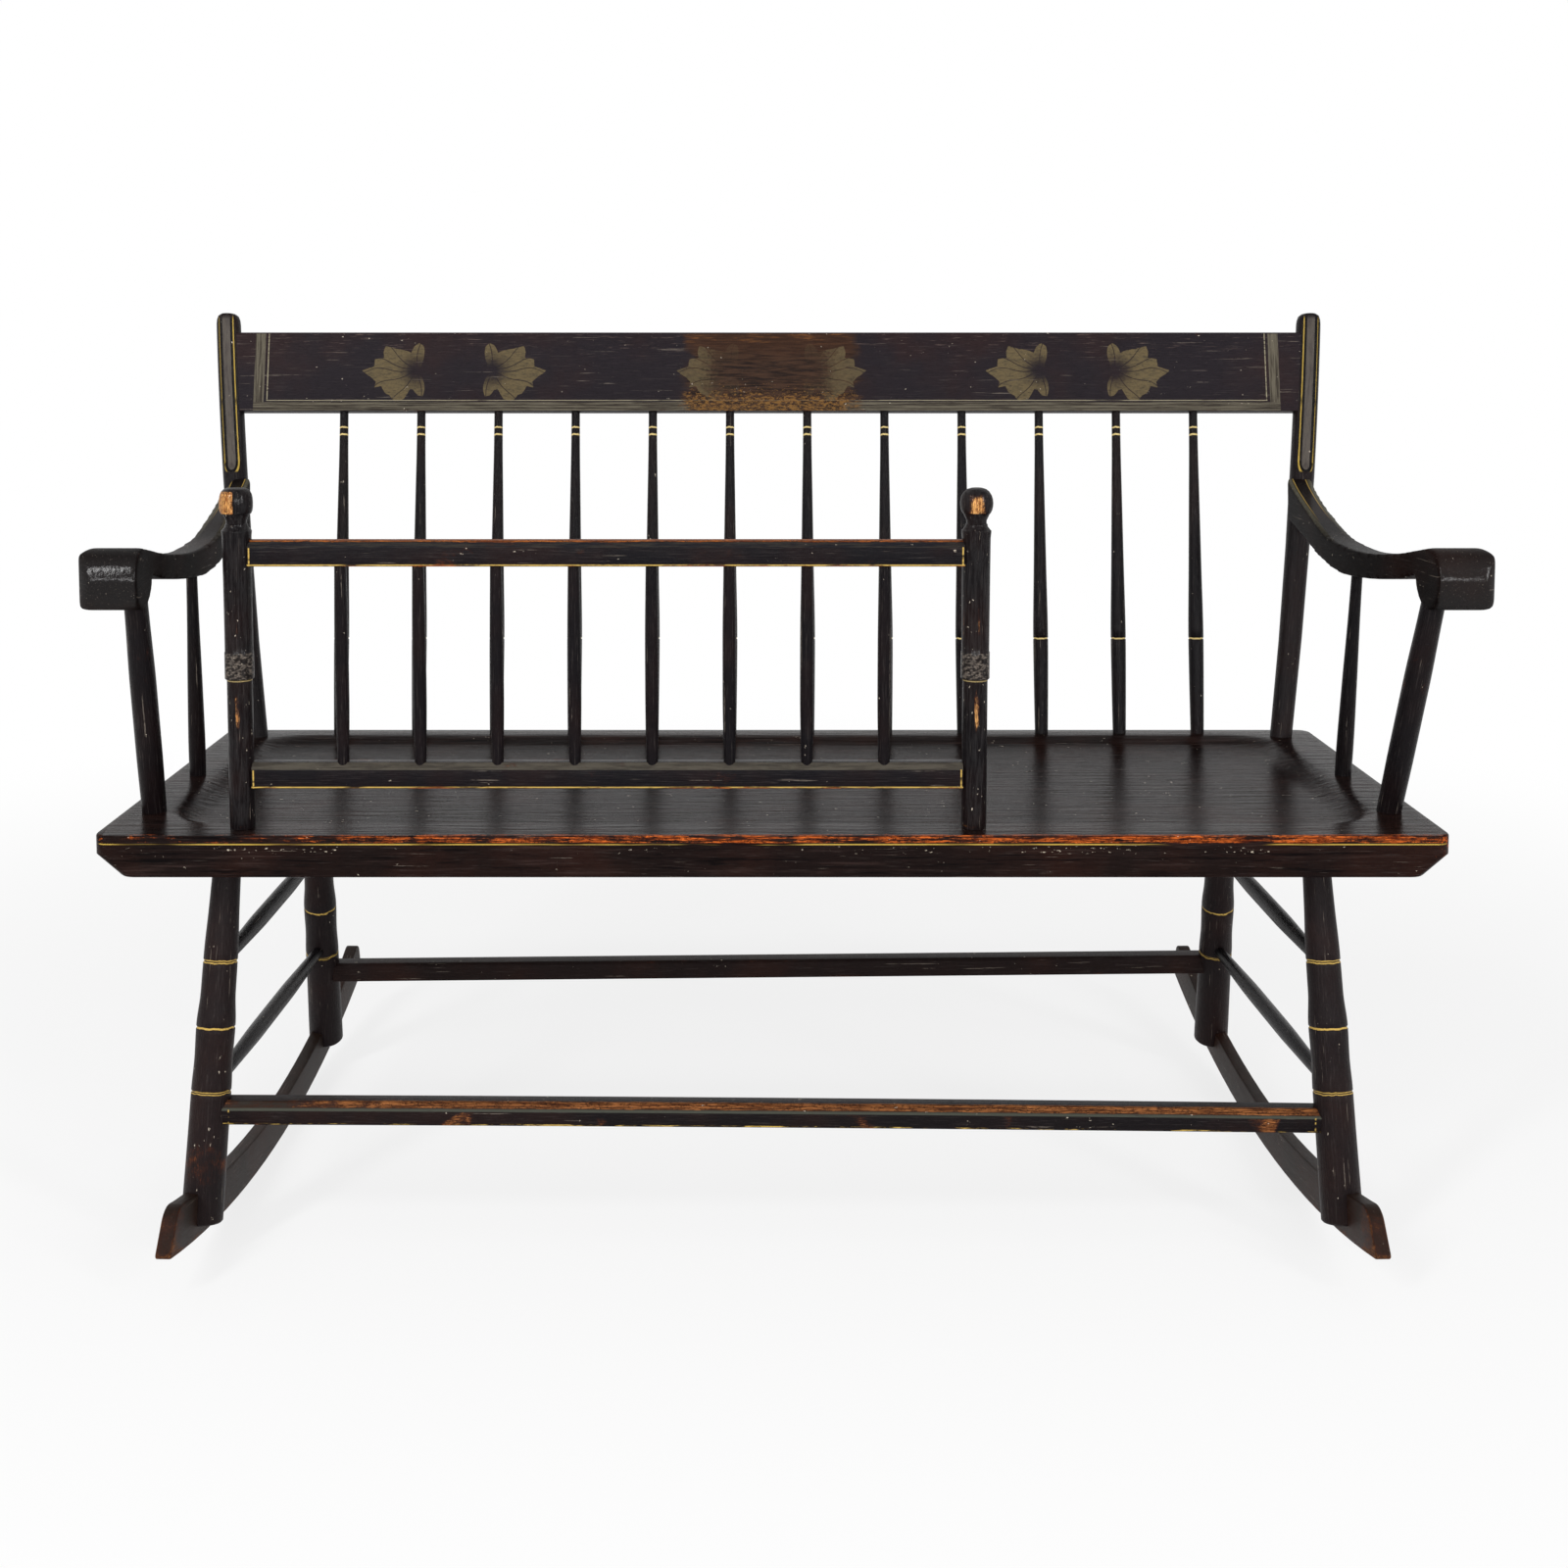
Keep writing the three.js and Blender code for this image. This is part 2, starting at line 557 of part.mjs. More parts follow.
// How far out a place on an arm is: width is a share of ARM_FLARE, and run a share of the arm's length.
function armX(width, run, tuck) {
  return ARM_INNER_X + ARM_FLARE * width - tuck * (1 - run) ** 2;
}

function armPlan(tuck) {
  const place = ([run, width]) => new THREE.Vector2(armX(width, run, tuck), ARM_FRONT + ARM_RUN * run);
  const inner = new THREE.SplineCurve(ARM_INNER_SHARES.map(place)).getPoints(CURVE_STEPS);
  const outer = new THREE.SplineCurve(ARM_OUTER_SHARES.map(place)).getPoints(ARM_STEPS);
  return new THREE.Shape([...inner, ...outer].reverse());
}

// What is cut off a square edge to leave it round. The edge faces +x and up, or down if flip is -1.
function edgeRounding(x, z, radius, flip) {
  const shape = new THREE.Shape();
  const clear = radius + OVERRUN;
  shape.moveTo(x - radius, z);
  shape.absarc(x - radius, z - flip * radius, radius, flip * Math.PI / 2, 0, flip > 0);
  shape.lineTo(x - radius + clear, z - flip * radius);
  shape.lineTo(x - radius + clear, z - flip * radius + flip * clear);
  shape.lineTo(x - radius, z - flip * radius + flip * clear);
  return fromFront(shape, ARM_RUN);
}

// An arm is sawn twice, to its side view and to its plan, and the scroll's outer end is rounded.
function armShape(tuck) {
  const plan = armPlan(tuck);
  const side = fromSide(armSideView(), ARM_BLANK_WIDTH).translate(ARM_INNER_X, 0, 0);
  const sawn = intersection(side, fromPlan(plan, 2 * (ARM_LOW + ARM_RISE)));
  const end = Math.max(...plan.getPoints().map((point) => point.x));
  const top = edgeRounding(end, SCROLL_CENTRE_Z + SCROLL_RADIUS, SCROLL_TOP_ROUND, 1);
  const bottom = edgeRounding(end, SCROLL_CENTRE_Z - SCROLL_RADIUS, SCROLL_BOTTOM_ROUND, -1);
  return toGeometry(toSolid(sawn).subtract(toSolid(top)).subtract(toSolid(bottom)));
}

// The wood behind a line just inside the post's front, which the arm stops at.
function armStop() {
  const inside = POST_RADIUS - POST_FACE_CUT;
  const size = 2 * (ARM_LOW + ARM_RISE);
  const box = new THREE.BoxGeometry(ARM_BLANK_WIDTH, size, size).translate(0, size / 2 - inside, size / 2);
  return welded(box);
}

function addArms({ posts, dowels }) {
  const rests = [];
  for (const [side, sign] of SIDES) {
    const tuck = sign < 0 ? LEFT_ARM_TUCK : 0;
    const shape = () => (sign > 0 ? armShape(tuck) : mirrored(armShape(tuck)));
    const arm = addPiece(bench, `arm_${side}`, BLACK_PAINT, shape);
    const atPost = new THREE.Matrix4().makeTranslation(sign * POST_FOOT_X, 0, 0);
    const stop = { matrixWorld: back.matrixWorld.clone().multiply(atPost), userData: { shape: armStop } };
    const support = addArmSupport(side, sign, tuck);
    const spindle = addArmSpindle(side, sign, tuck);
    seatIn(arm, [stop, posts[side], dowels[side], support, spindle]);
    rests.push(support, spindle);
  }
  return rests;
}

function addArmSupport(side, sign, tuck) {
  const headY = ARM_FRONT + SCROLL_RADIUS * SUPPORT_HEAD_RUN_SHARE;
  const foot = new THREE.Vector3(sign * (SEAT_WIDTH / 2 - SUPPORT_END_INSET), SUPPORT_FRONT_INSET, 0);
  const head = new THREE.Vector3(
    sign * armX(SUPPORT_HEAD_WIDTH_SHARE, (headY - ARM_FRONT) / ARM_RUN, tuck),
    headY,
    SCROLL_CENTRE_Z - SCROLL_RADIUS * SUPPORT_HEAD_DROP_SHARE,
  );
  const length = foot.distanceTo(head);
  const profile = [
    [SUPPORT_FOOT_DIAMETER / 2, -SUPPORT_TENON],
    [SUPPORT_FOOT_DIAMETER / 2, 0],
    ...SUPPORT_WAIST_SHARES.map((share) => [SUPPORT_WAIST_DIAMETER / 2, length * share]),
    [SUPPORT_HEAD_DIAMETER / 2, length - SUPPORT_TENON / 2],
    [SUPPORT_HEAD_DIAMETER / 2, length + SUPPORT_TENON],
  ];
  return addTurned(bench, `arm_support_${side}`, BLACK_PAINT, foot, head, profile, POST_SIDES);
}

function addArmSpindle(side, sign, tuck) {
  const run = ARM_SPINDLE_HEAD_RUN_SHARE;
  const foot = new THREE.Vector3(sign * (SEAT_WIDTH / 2 - ARM_SPINDLE_END_INSET), ARM_SPINDLE_FRONT_INSET, 0);
  const headX = sign * armX(ARM_SPINDLE_HEAD_WIDTH_SHARE, run, tuck);
  const head = new THREE.Vector3(headX, ARM_FRONT + ARM_RUN * run, ARM_LOW);
  const length = foot.distanceTo(head);
  const profile = [
    [ARM_SPINDLE_FOOT_DIAMETER / 2, -SPINDLE_FOOT_TENON],
    [ARM_SPINDLE_FOOT_DIAMETER / 2, length * ARM_SPINDLE_FOOT_SHARE],
    [ARM_SPINDLE_HEAD_DIAMETER / 2, length - ARM_SPINDLE_TENON / 2],
    [ARM_SPINDLE_HEAD_DIAMETER / 2, length + ARM_SPINDLE_TENON],
  ];
  return addTurned(bench, `arm_spindle_${side}`, BLACK_PAINT, foot, head, profile, SPINDLE_SIDES);
}

// Height of the rocker's bottom edge at a place along it.
function rockerBottom(y) {
  return ROCKER_RADIUS - Math.sqrt(ROCKER_RADIUS ** 2 - (y - ROCKER_CENTRE) ** 2) - SEAT_HEIGHT;
}

// A leg's middle line: its head under the seat, and its foot just above the rocker's bottom edge.
function legLine(sign, endInset, headY, rake, clearance) {
  const head = new THREE.Vector3(sign * (SEAT_WIDTH / 2 - endInset), headY, -SEAT_THICKNESS);
  const slope = new THREE.Vector3(sign * Math.tan(LEG_SPLAY), Math.tan(rake), -1);
  let drop = SEAT_HEIGHT - SEAT_THICKNESS;
  for (let pass = 0; pass < SOLVER_STEPS; pass += 1) {
    drop = head.z - clearance - rockerBottom(head.y + slope.y * drop);
  }
  return { head, foot: head.clone().addScaledVector(slope, drop) };
}

function legProfile(length) {
  const radius = LEG_FOOT_DIAMETER / 2;
  const profile = [[LEG_TOP_DIAMETER / 2, -LEG_TENON], [LEG_TOP_DIAMETER / 2, 0]];
  LEG_RING_SHARES.forEach((share, i) => {
    const ring = radius * LEG_RING_WIDTH_SHARES[i];
    if (i > 0) {
      const waist = ((share + LEG_RING_SHARES[i - 1]) / 2) * length;
      profile.push([(ring + radius * LEG_RING_WIDTH_SHARES[i - 1]) / 2 * LEG_WAIST_SHARE, waist]);
    }
    profile.push(...grooved(ring, share * length));
  });
  profile.push([radius, length]);
  return profile;
}

function addLeg(place, side, line) {
  const profile = legProfile(line.head.distanceTo(line.foot));
  const leg = addTurned(bench, `leg_${place}_${side}`, BLACK_PAINT, line.head, line.foot, profile, LEG_SIDES);
  leg.userData.line = line;
  return leg;
}

function onLeg(leg, share) {
  return leg.userData.line.head.clone().lerp(leg.userData.line.foot, share);
}

// The rocker's outline in side view. grow lifts its top edge, and keel drops its bottom edge.
function rockerOutline(grow, keel) {
  const centreZ = ROCKER_RADIUS - SEAT_HEIGHT;
  const half = ROCKER_FACET / ROCKER_RADIUS / 2;
  const front = -Math.asin(ROCKER_FRONT_REACH / ROCKER_RADIUS);
  const tail = Math.asin(ROCKER_TAIL_REACH / ROCKER_RADIUS);
  const topFront = front + ROCKER_TIP_SLANT / ROCKER_RADIUS;
  const corner = ROCKER_CORNER_RADIUS / ROCKER_RADIUS;
  const toe = ROCKER_TOE_RADIUS / ROCKER_RADIUS;
  const point = (radius, angle) => [
    ROCKER_CENTRE + radius * Math.sin(angle),
    centreZ - radius * Math.cos(angle),
  ];
  const bottom = (angle) => point(ROCKER_RADIUS + keel, angle);
  const top = (angle, drop = 0) => {
    const height = THREE.MathUtils.lerp(ROCKER_HEIGHT, ROCKER_TIP_HEIGHT, Math.max(angle / front, 0));
    return point(ROCKER_RADIUS - height - grow + drop, angle);
  };
  const angles = facetAngles(front, tail, half);
  const tipFoot = new THREE.Vector2(...bottom(front));
  const tipHead = new THREE.Vector2(...top(topFront));
  const tipHeight = tipFoot.distanceTo(tipHead);
  const onTip = (height) => tipFoot.clone().lerp(tipHead, height / tipHeight).toArray();
  const shape = new THREE.Shape();
  shape.moveTo(...onTip(ROCKER_TOE_RADIUS));
  shape.quadraticCurveTo(...tipFoot, ...bottom(front + toe));
  angles.forEach((angle) => shape.lineTo(...bottom(angle)));
  shape.lineTo(...bottom(tail));
  shape.lineTo(...top(tail, ROCKER_CORNER_RADIUS));
  shape.quadraticCurveTo(...top(tail), ...top(tail - corner));
  angles.filter((angle) => angle > topFront + corner && angle < tail - corner).reverse()
    .forEach((angle) => shape.lineTo(...top(angle)));
  shape.lineTo(...top(topFront + corner));
  shape.quadraticCurveTo(...tipHead, ...onTip(tipHeight - ROCKER_CORNER_RADIUS));
  return shape;
}

// Corners of the flats on the rocking edge, with one flat lying on the floor at rest.
function facetAngles(front, tail, half) {
  const angles = [];
  for (let angle = -half; angle > front + half; angle -= 2 * half) angles.unshift(angle);
  for (let angle = half; angle < tail - half; angle += 2 * half) angles.push(angle);
  return angles;
}

function addRocker(side, sign, front, rear) {
  const shape = (grow) => {
    const outline = rockerOutline(grow, grow > 0 ? OVERRUN : 0);
    return fromSide(outline, ROCKER_THICKNESS + 2 * grow);
  };
  const rocker = addPiece(bench, `rocker_${side}`, WORN_PAINT, shape);
  const run = rear.y - front.y;
  const toeIn = Math.atan((rear.x - front.x) / run);
  const middle = front.x + ((rear.x - front.x) * -front.y) / run;
  rocker.rotation.z = -toeIn;
  rocker.position.x = middle + sign * ROCKER_OFFSET;
  rocker.updateWorldMatrix(true, false);
  return rocker;
}

// A pin across the cheeks of a leg's fork, halfway up the rocker that is between them.
function addRockerPin(name, leg, clearance) {
  const { head, foot } = leg.userData.line;
  const up = head.clone().sub(foot).normalize();
  const middle = foot.clone().addScaledVector(up, (ROCKER_HEIGHT - clearance) / 2);
  const reach = LEG_FOOT_DIAMETER / 2 - RING_GROOVE_DEPTH;
  const from = middle.clone().setX(middle.x - reach);
  const to = middle.clone().setX(middle.x + reach);
  const profile = [[ROCKER_PIN_DIAMETER / 2, 0], [ROCKER_PIN_DIAMETER / 2, 2 * reach]];
  return addTurned(bench, name, WORN_PAINT, from, to, profile, PIN_SIDES);
}

// A square rail between two round pieces: its ends are coped to them, and a round tenon runs into each.
function addRail(parent, name, paint, size, hosts, from, to) {
  const { height, depth, bevel, tenonDiameter, endInset, gap } = size;
  const length = to.x - from.x;
  const section = polygon([
    [-depth / 2, -height / 2],
    [depth / 2, -height / 2],
    [depth / 2, height / 2],
    [bevel - depth / 2, height / 2],
    [-depth / 2, height / 2 - bevel],
  ]);
  const rail = addPiece(parent, name, paint, () => fromSide(section, length).translate(length / 2, 0, 0));
  rail.position.copy(from);
  rail.updateWorldMatrix(true, false);
  seatIn(rail, hosts, gap);
  const tenons = (grow) => {
    const profile = [[tenonDiameter / 2, endInset], [tenonDiameter / 2, length - endInset]];
    return turned(profile, SLIM_SIDES, grow).rotateY(Math.PI / 2);
  };
  rail.geometry = union(rail.geometry, tenons(0));
  const rod = { matrixWorld: rail.matrixWorld, userData: { shape: tenons } };
  hosts.forEach((host) => seatIn(host, [rod], gap));
  return rail;
}

function addSideStretcher(name, front, rear, [frontShare, rearShare]) {
  const from = onLeg(front, frontShare);
  const to = onLeg(rear, rearShare);
  const length = from.distanceTo(to);
  const thin = SIDE_STRETCHER_END_DIAMETER / 2;
  const thick = SIDE_STRETCHER_DIAMETER / 2;
  const profile = [
    [thin, STRETCHER_END_INSET],
    [thin, LEG_FOOT_DIAMETER / 2],
    ...SIDE_STRETCHER_SWELL_SHARES.map((share) => [thick, length * share]),
    [thin, length - LEG_FOOT_DIAMETER / 2],
    [thin, length - STRETCHER_END_INSET],
  ];
  const stretcher = addTurned(bench, name, BLACK_PAINT, from, to, profile, SPINDLE_SIDES);
  seatIn(front, [stretcher]);
  seatIn(rear, [stretcher]);
}

function addUndercarriage() {
  const legs = { front: {}, rear: {} };
  for (const [side, sign] of SIDES) {
    const rearHeadY = SEAT_DEPTH - REAR_LEG_INSET;
    const frontLine = legLine(
      sign, FRONT_LEG_END_INSET, FRONT_LEG_INSET, FRONT_LEG_RAKE, FRONT_LEG_CLEARANCE,
    );
    const rearLine = legLine(sign, REAR_LEG_END_INSET, rearHeadY, REAR_LEG_RAKE, REAR_LEG_CLEARANCE);
    const front = addLeg('front', side, frontLine);
    const rear = addLeg('rear', side, rearLine);
    const rocker = addRocker(side, sign, frontLine.foot, rearLine.foot);
    const frontPin = addRockerPin(`rocker_pin_front_${side}`, front, FRONT_LEG_CLEARANCE);
    const rearPin = addRockerPin(`rocker_pin_rear_${side}`, rear, REAR_LEG_CLEARANCE);
    seatIn(front, [rocker, frontPin]);
    seatIn(rear, [rocker, rearPin]);
    seatIn(rocker, [frontPin, rearPin]);
    addSideStretcher(`side_stretcher_upper_${side}`, front, rear, UPPER_STRETCHER_SHARES);
    addSideStretcher(`side_stretcher_lower_${side}`, front, rear, LOWER_STRETCHER_SHARES);
    legs.front[side] = front;
    legs.rear[side] = rear;
  }
  const size = {
    height: CROSS_STRETCHER_HEIGHT,
    depth: CROSS_STRETCHER_DEPTH,
    bevel: CROSS_STRETCHER_BEVEL,
    tenonDiameter: CROSS_TENON_DIAMETER,
    endInset: STRETCHER_END_INSET,
    gap: FIT_GAP,
  };
  for (const [place, share] of [['front', FRONT_STRETCHER_SHARE], ['rear', REAR_STRETCHER_SHARE]]) {
    const { left, right } = legs[place];
    const from = onLeg(left, share);
    const to = onLeg(right, share);
    addRail(bench, `${place}_stretcher`, WORN_PAINT, size, [left, right], from, to);
  }
  return [...Object.values(legs.front), ...Object.values(legs.rear)];
}

function guardPostProfile() {
  const foot = GUARD_FOOT_DIAMETER / 2;
  const shaft = GUARD_SHAFT_DIAMETER / 2;
  const band = GUARD_BAND_DIAMETER / 2;
  const neck = GUARD_NECK_DIAMETER / 2;
  const ball = GUARD_BALL_DIAMETER / 2;
  const [bandFoot, bandTop] = GUARD_BAND_SHARES.map((share) => share * GUARD_HEIGHT);
  const ballZ = GUARD_HEIGHT * GUARD_BALL_SHARE;
  const ballHalf = GUARD_HEIGHT - ballZ;
  const profile = [
    [GUARD_TENON_DIAMETER / 2, -SEAT_THICKNESS - GUARD_TENON_PROUD],
    [GUARD_TENON_DIAMETER / 2, 0],
    [foot, 0],
    [foot, bandFoot],
    [band, bandFoot + GUARD_BAND_STEP],
    [band, bandTop],
    [shaft, bandTop + GUARD_BAND_STEP],
    [band, GUARD_HEIGHT * GUARD_SHOULDER_SHARE],
    [neck, GUARD_HEIGHT * GUARD_NECK_SHARE],
  ];
  for (const turn of GUARD_BALL_TURNS) {
    profile.push([ball * Math.cos(turn * Math.PI), ballZ + ballHalf * Math.sin(turn * Math.PI)]);
  }
  profile.push([GUARD_BALL_FLAT_DIAMETER / 2, GUARD_HEIGHT]);
  return profile;
}

function addGuardPost(side, x) {
  const from = new THREE.Vector3(x, 0, 0);
  const to = new THREE.Vector3(x, 0, GUARD_HEIGHT);
  return addTurned(guard, `guard_post_${side}`, BLACK_PAINT, from, to, guardPostProfile(), POST_SIDES);
}

function addGuardSpindle(number, x, from, to) {
  const length = to - from;
  const slim = GUARD_SPINDLE_DIAMETER / 2;
  const swell = GUARD_SPINDLE_SWELL_DIAMETER / 2;
  const radii = [slim, swell, swell, slim];
  const profile = [
    [slim, -GUARD_SPINDLE_TENON],
    ...GUARD_SPINDLE_SHARES.map((share, i) => [radii[i], length * share]),
    [slim, length + GUARD_SPINDLE_TENON],
  ];
  const foot = new THREE.Vector3(x, 0, from);
  const head = new THREE.Vector3(x, 0, to);
  return addTurned(guard, `guard_spindle_${number}`, BLACK_PAINT, foot, head, profile, SLIM_SIDES);
}

function addGuard() {
  const left = addGuardPost('left', 0);
  const right = addGuardPost('right', GUARD_SPAN);
  const size = {
    height: GUARD_RAIL_HEIGHT,
    depth: GUARD_RAIL_DEPTH,
    bevel: GUARD_RAIL_BEVEL,
    tenonDiameter: GUARD_RAIL_TENON_DIAMETER,
    endInset: GUARD_RAIL_END_INSET,
    gap: FIT_GAP,
  };
  const rails = {};
  for (const [place, share] of [['bottom', GUARD_BOTTOM_RAIL_SHARE], ['top', GUARD_TOP_RAIL_SHARE]]) {
    const z = GUARD_HEIGHT * share;
    const from = new THREE.Vector3(0, 0, z);
    const to = new THREE.Vector3(GUARD_SPAN, 0, z);
    rails[place] = addRail(guard, `guard_rail_${place}`, BLACK_PAINT, size, [left, right], from, to);
  }
  const spindleFoot = GUARD_HEIGHT * GUARD_BOTTOM_RAIL_SHARE + GUARD_RAIL_HEIGHT / 2;
  const spindleHead = GUARD_HEIGHT * GUARD_TOP_RAIL_SHARE - GUARD_RAIL_HEIGHT / 2;
  const spindles = [];
  for (let i = 0; i < GUARD_SPINDLE_COUNT; i += 1) {
    const place = (i - (GUARD_SPINDLE_COUNT - 1) / 2) * GUARD_SPINDLE_PITCH;
    const x = GUARD_SPAN / 2 + GUARD_SPINDLE_SHIFT + place;
    spindles.push(addGuardSpindle(i + 1, x, spindleFoot, spindleHead));
  }
  seatIn(rails.bottom, spindles);
  seatIn(rails.top, spindles);
  return [left, right];
}

// Assembly

const seat = addPiece(bench, 'seat_plank', SEAT_PAINT, seatShape);
const backPieces = addBack();
const backSpindles = addBackSpindles();
seatIn(backPieces.crest, backSpindles);
const armRests = addArms(backPieces);
const legs = addUndercarriage();
const guardPosts = addGuard();
seatIn(seat, [...Object.values(backPieces.posts), ...backSpindles, ...armRests, ...legs]);
seatIn(seat, guardPosts, SLIDE_GAP);

root.traverse((object) => {
  if (object.isMesh) object.geometry = toCreasedNormals(object.geometry, CREASE_ANGLE);
});

const bounds = new THREE.Box3().setFromObject(root, true);
const middle = bounds.getCenter(new THREE.Vector3());
root.position.set(-middle.x, -middle.y, -bounds.min.z);
root.updateMatrixWorld(true);

export default root;
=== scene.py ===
# %% [markdown]
# # A settee rocker with a lift-out cradle guard
#
# The object is an old black-painted bench on two rockers. A low guard stands in two holes near the seat's front
# edge, and it lifts out. The frame that is loaded first holds the measured solids. This script dresses them:
# it turns, planes and saws each visible piece again with a finer surface, and then paints it.

# %% Load the measured frame
import math
import bmesh
import bpy
import numpy as np
from mathutils import Matrix, Vector


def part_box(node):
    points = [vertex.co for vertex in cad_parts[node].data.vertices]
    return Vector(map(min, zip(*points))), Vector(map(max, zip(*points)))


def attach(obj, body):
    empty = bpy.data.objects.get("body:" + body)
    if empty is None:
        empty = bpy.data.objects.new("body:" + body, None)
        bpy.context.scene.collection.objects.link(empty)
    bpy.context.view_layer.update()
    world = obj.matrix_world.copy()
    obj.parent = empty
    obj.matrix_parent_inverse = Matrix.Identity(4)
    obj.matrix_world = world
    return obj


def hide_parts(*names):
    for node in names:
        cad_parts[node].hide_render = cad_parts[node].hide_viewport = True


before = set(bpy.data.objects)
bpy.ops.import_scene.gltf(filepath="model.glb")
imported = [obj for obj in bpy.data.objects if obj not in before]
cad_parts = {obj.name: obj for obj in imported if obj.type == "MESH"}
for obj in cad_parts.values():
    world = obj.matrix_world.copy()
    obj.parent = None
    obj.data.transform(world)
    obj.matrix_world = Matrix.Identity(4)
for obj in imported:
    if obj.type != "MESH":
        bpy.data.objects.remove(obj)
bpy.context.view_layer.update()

# %% [markdown]
# ## Where the bench stands
#
# The bench was drawn from the middle of the seat's top front edge, in millimetres. Keeping that point as the zero
# means that the sizes below can be read with a rule against the real piece. Two more frames ride on it: the back,
# which leans, and the guard, which stands in its two holes.

# %% The three frames that pieces are drawn in
MM = 0.001
LEAN_ANGLE = math.radians(13.1)
BACK_FOOT, GUARD_FOOT = (0, 437, 0), (-502, 30, 0.3)
SIDES = {"left": -1, "right": 1}


def far(point):
    """A place in millimetres, made metres."""
    return [value * MM for value in point]


seat_low, seat_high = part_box("seat_plank")
SEAT = Matrix.Translation(((seat_low.x + seat_high.x) / 2, seat_low.y, seat_high.z))
LEAN = SEAT @ Matrix.Translation(far(BACK_FOOT)) @ Matrix.Rotation(-LEAN_ANGLE, 4, "X")
GUARD = SEAT @ Matrix.Translation(far(GUARD_FOOT))
print("seat's front edge:", [round(v, 4) for v in SEAT.translation])

# %% [markdown]
# ## The camera
#
# The photograph was taken from a little above the arms, straight in front, with the picture cut low. A shifted
# lens does that on a real camera, and the shift below does it here, so that upright things stay upright.

# %% Camera
camera_data = bpy.data.cameras.new("photo_camera")
camera_data.sensor_width, camera_data.lens = 36, 43.51
camera_data.shift_x, camera_data.shift_y = 0.0189, -0.1953
camera = bpy.data.objects.new("photo_camera", camera_data)
camera.location = SEAT @ Vector((-0.017, -1.7355, 0.4714))
camera.rotation_euler = (math.radians(85.5), 0, 0)
bpy.context.scene.collection.objects.link(camera)
bpy.context.scene.camera = camera
print("camera stands at", [round(v, 3) for v in camera.location])

# %% [markdown]
# ## Finishes written as sums
#
# A finish here is a tree of nodes. A tree can be wired by hand, but then a product of two masks takes three lines.
# So what comes out of a node is kept as a reading, and readings can be added, multiplied and compared like numbers.
# Each sum adds its own node. The short helpers after it mix colours, make noise, and turn a reading into a mask
# with a soft edge.

# %% Readings
class Reading:
    """What comes out of a node: a number, a colour or a place."""

    def __init__(self, socket):
        self.socket, self.tree = socket, socket.id_data

    def __mul__(self, other):
        return calc("MULTIPLY", self, other)

    def __add__(self, other):
        return calc("ADD", self, other)

    def __sub__(self, other):
        return calc("SUBTRACT", self, other)

    def __rsub__(self, other):
        return calc("SUBTRACT", other, self)

    def __truediv__(self, other):
        return calc("DIVIDE", self, other)

    def __or__(self, other):
        """Either mask: the higher of two readings."""
        return calc("MAXIMUM", self, other)

    def __and__(self, other):
        """Both masks: the lower of two readings."""
        return calc("MINIMUM", self, other)

    def __abs__(self):
        return calc("ABSOLUTE", self)


def put(tree, kind, inputs=None, **settings):
    """Adds a node. Its inputs are plain values, or readings, which are linked."""
    added = tree.nodes.new(kind)
    for key, value in settings.items():
        setattr(added, key, value)
    for key, value in (inputs or {}).items():
        if isinstance(value, Reading):
            tree.links.new(value.socket, added.inputs[key])
        else:
            added.inputs[key].default_value = value
    return added


def source(tree, kind, out=0, inputs=None, **settings):
    """Adds a node and reads one of its outputs."""
    return Reading(put(tree, kind, inputs, **settings).outputs[out])


def reading(kind, inputs, out=0, **settings):
    """Adds a node to the tree of the readings that go into it."""
    tree = next(value.tree for value in inputs.values() if isinstance(value, Reading))
    return source(tree, kind, out, inputs, **settings)


def calc(operation, first, second=0.0, third=0.0):
    return reading("ShaderNodeMath", {0: first, 1: second, 2: third}, operation=operation)


print("readings ready")


# %% Colours, masks and noise
def tone(red, green, blue):
    """A paint colour as a colour card gives it, 0 to 255, made linear."""
    parts = [value / 255 for value in (red, green, blue)]
    return (*[p / 12.92 if p <= 0.04045 else ((p + 0.055) / 1.055) ** 2.4 for p in parts], 1)


def mix(mask, under, over):
    """A colour that goes from under to over as the mask goes from 0 to 1."""
    return reading("ShaderNodeMix", {0: mask, 6: under, 7: over}, 2, data_type="RGBA")


def between(mask, under, over):
    """One number that goes from under to over as the mask goes from 0 to 1."""
    return mask * (over - under) + under


def edge(value, low, high, top=1.0):
    """0 below low, top above high, and a soft step between. With low above high it falls."""
    inputs = {"Value": value, 1: low, 2: high, 3: 0.0, 4: top}
    return reading("ShaderNodeMapRange", inputs, interpolation_type="SMOOTHSTEP")


def band(value, middle, width, softness=0.25):
    """1 inside a band round middle, with a slightly soft edge."""
    return edge(abs(value - middle), width / 2 + softness, width / 2 - softness)


def stretched(place, scale, offset=(0, 0, 0)):
    return reading("ShaderNodeMapping", {"Vector": place, "Scale": scale, "Location": offset})


def noise(place, scale, detail=4.0, roughness=0.55):
    inputs = {"Vector": place, "Scale": scale, "Detail": detail, "Roughness": roughness}
    return reading("ShaderNodeTexNoise", inputs)


def figure(grain, scale, offset=(0, 0, 0), detail=4.0, roughness=0.55):
    """Noise with its own scale across, through and along the wood."""
    return noise(stretched(grain, scale, offset), 1.0, detail, roughness)


def parts_of(place):
    return [Reading(socket) for socket in put(place.tree, "ShaderNodeSeparateXYZ", {0: place}).outputs]


def facing_of(grain):
    """How far the surface faces right, back and up."""
    return parts_of(source(grain.tree, "ShaderNodeNewGeometry", "Normal"))


def spot_of(grain):
    """The place in the whole bench, in metres."""
    return parts_of(source(grain.tree, "ShaderNodeTexCoord", "Object"))


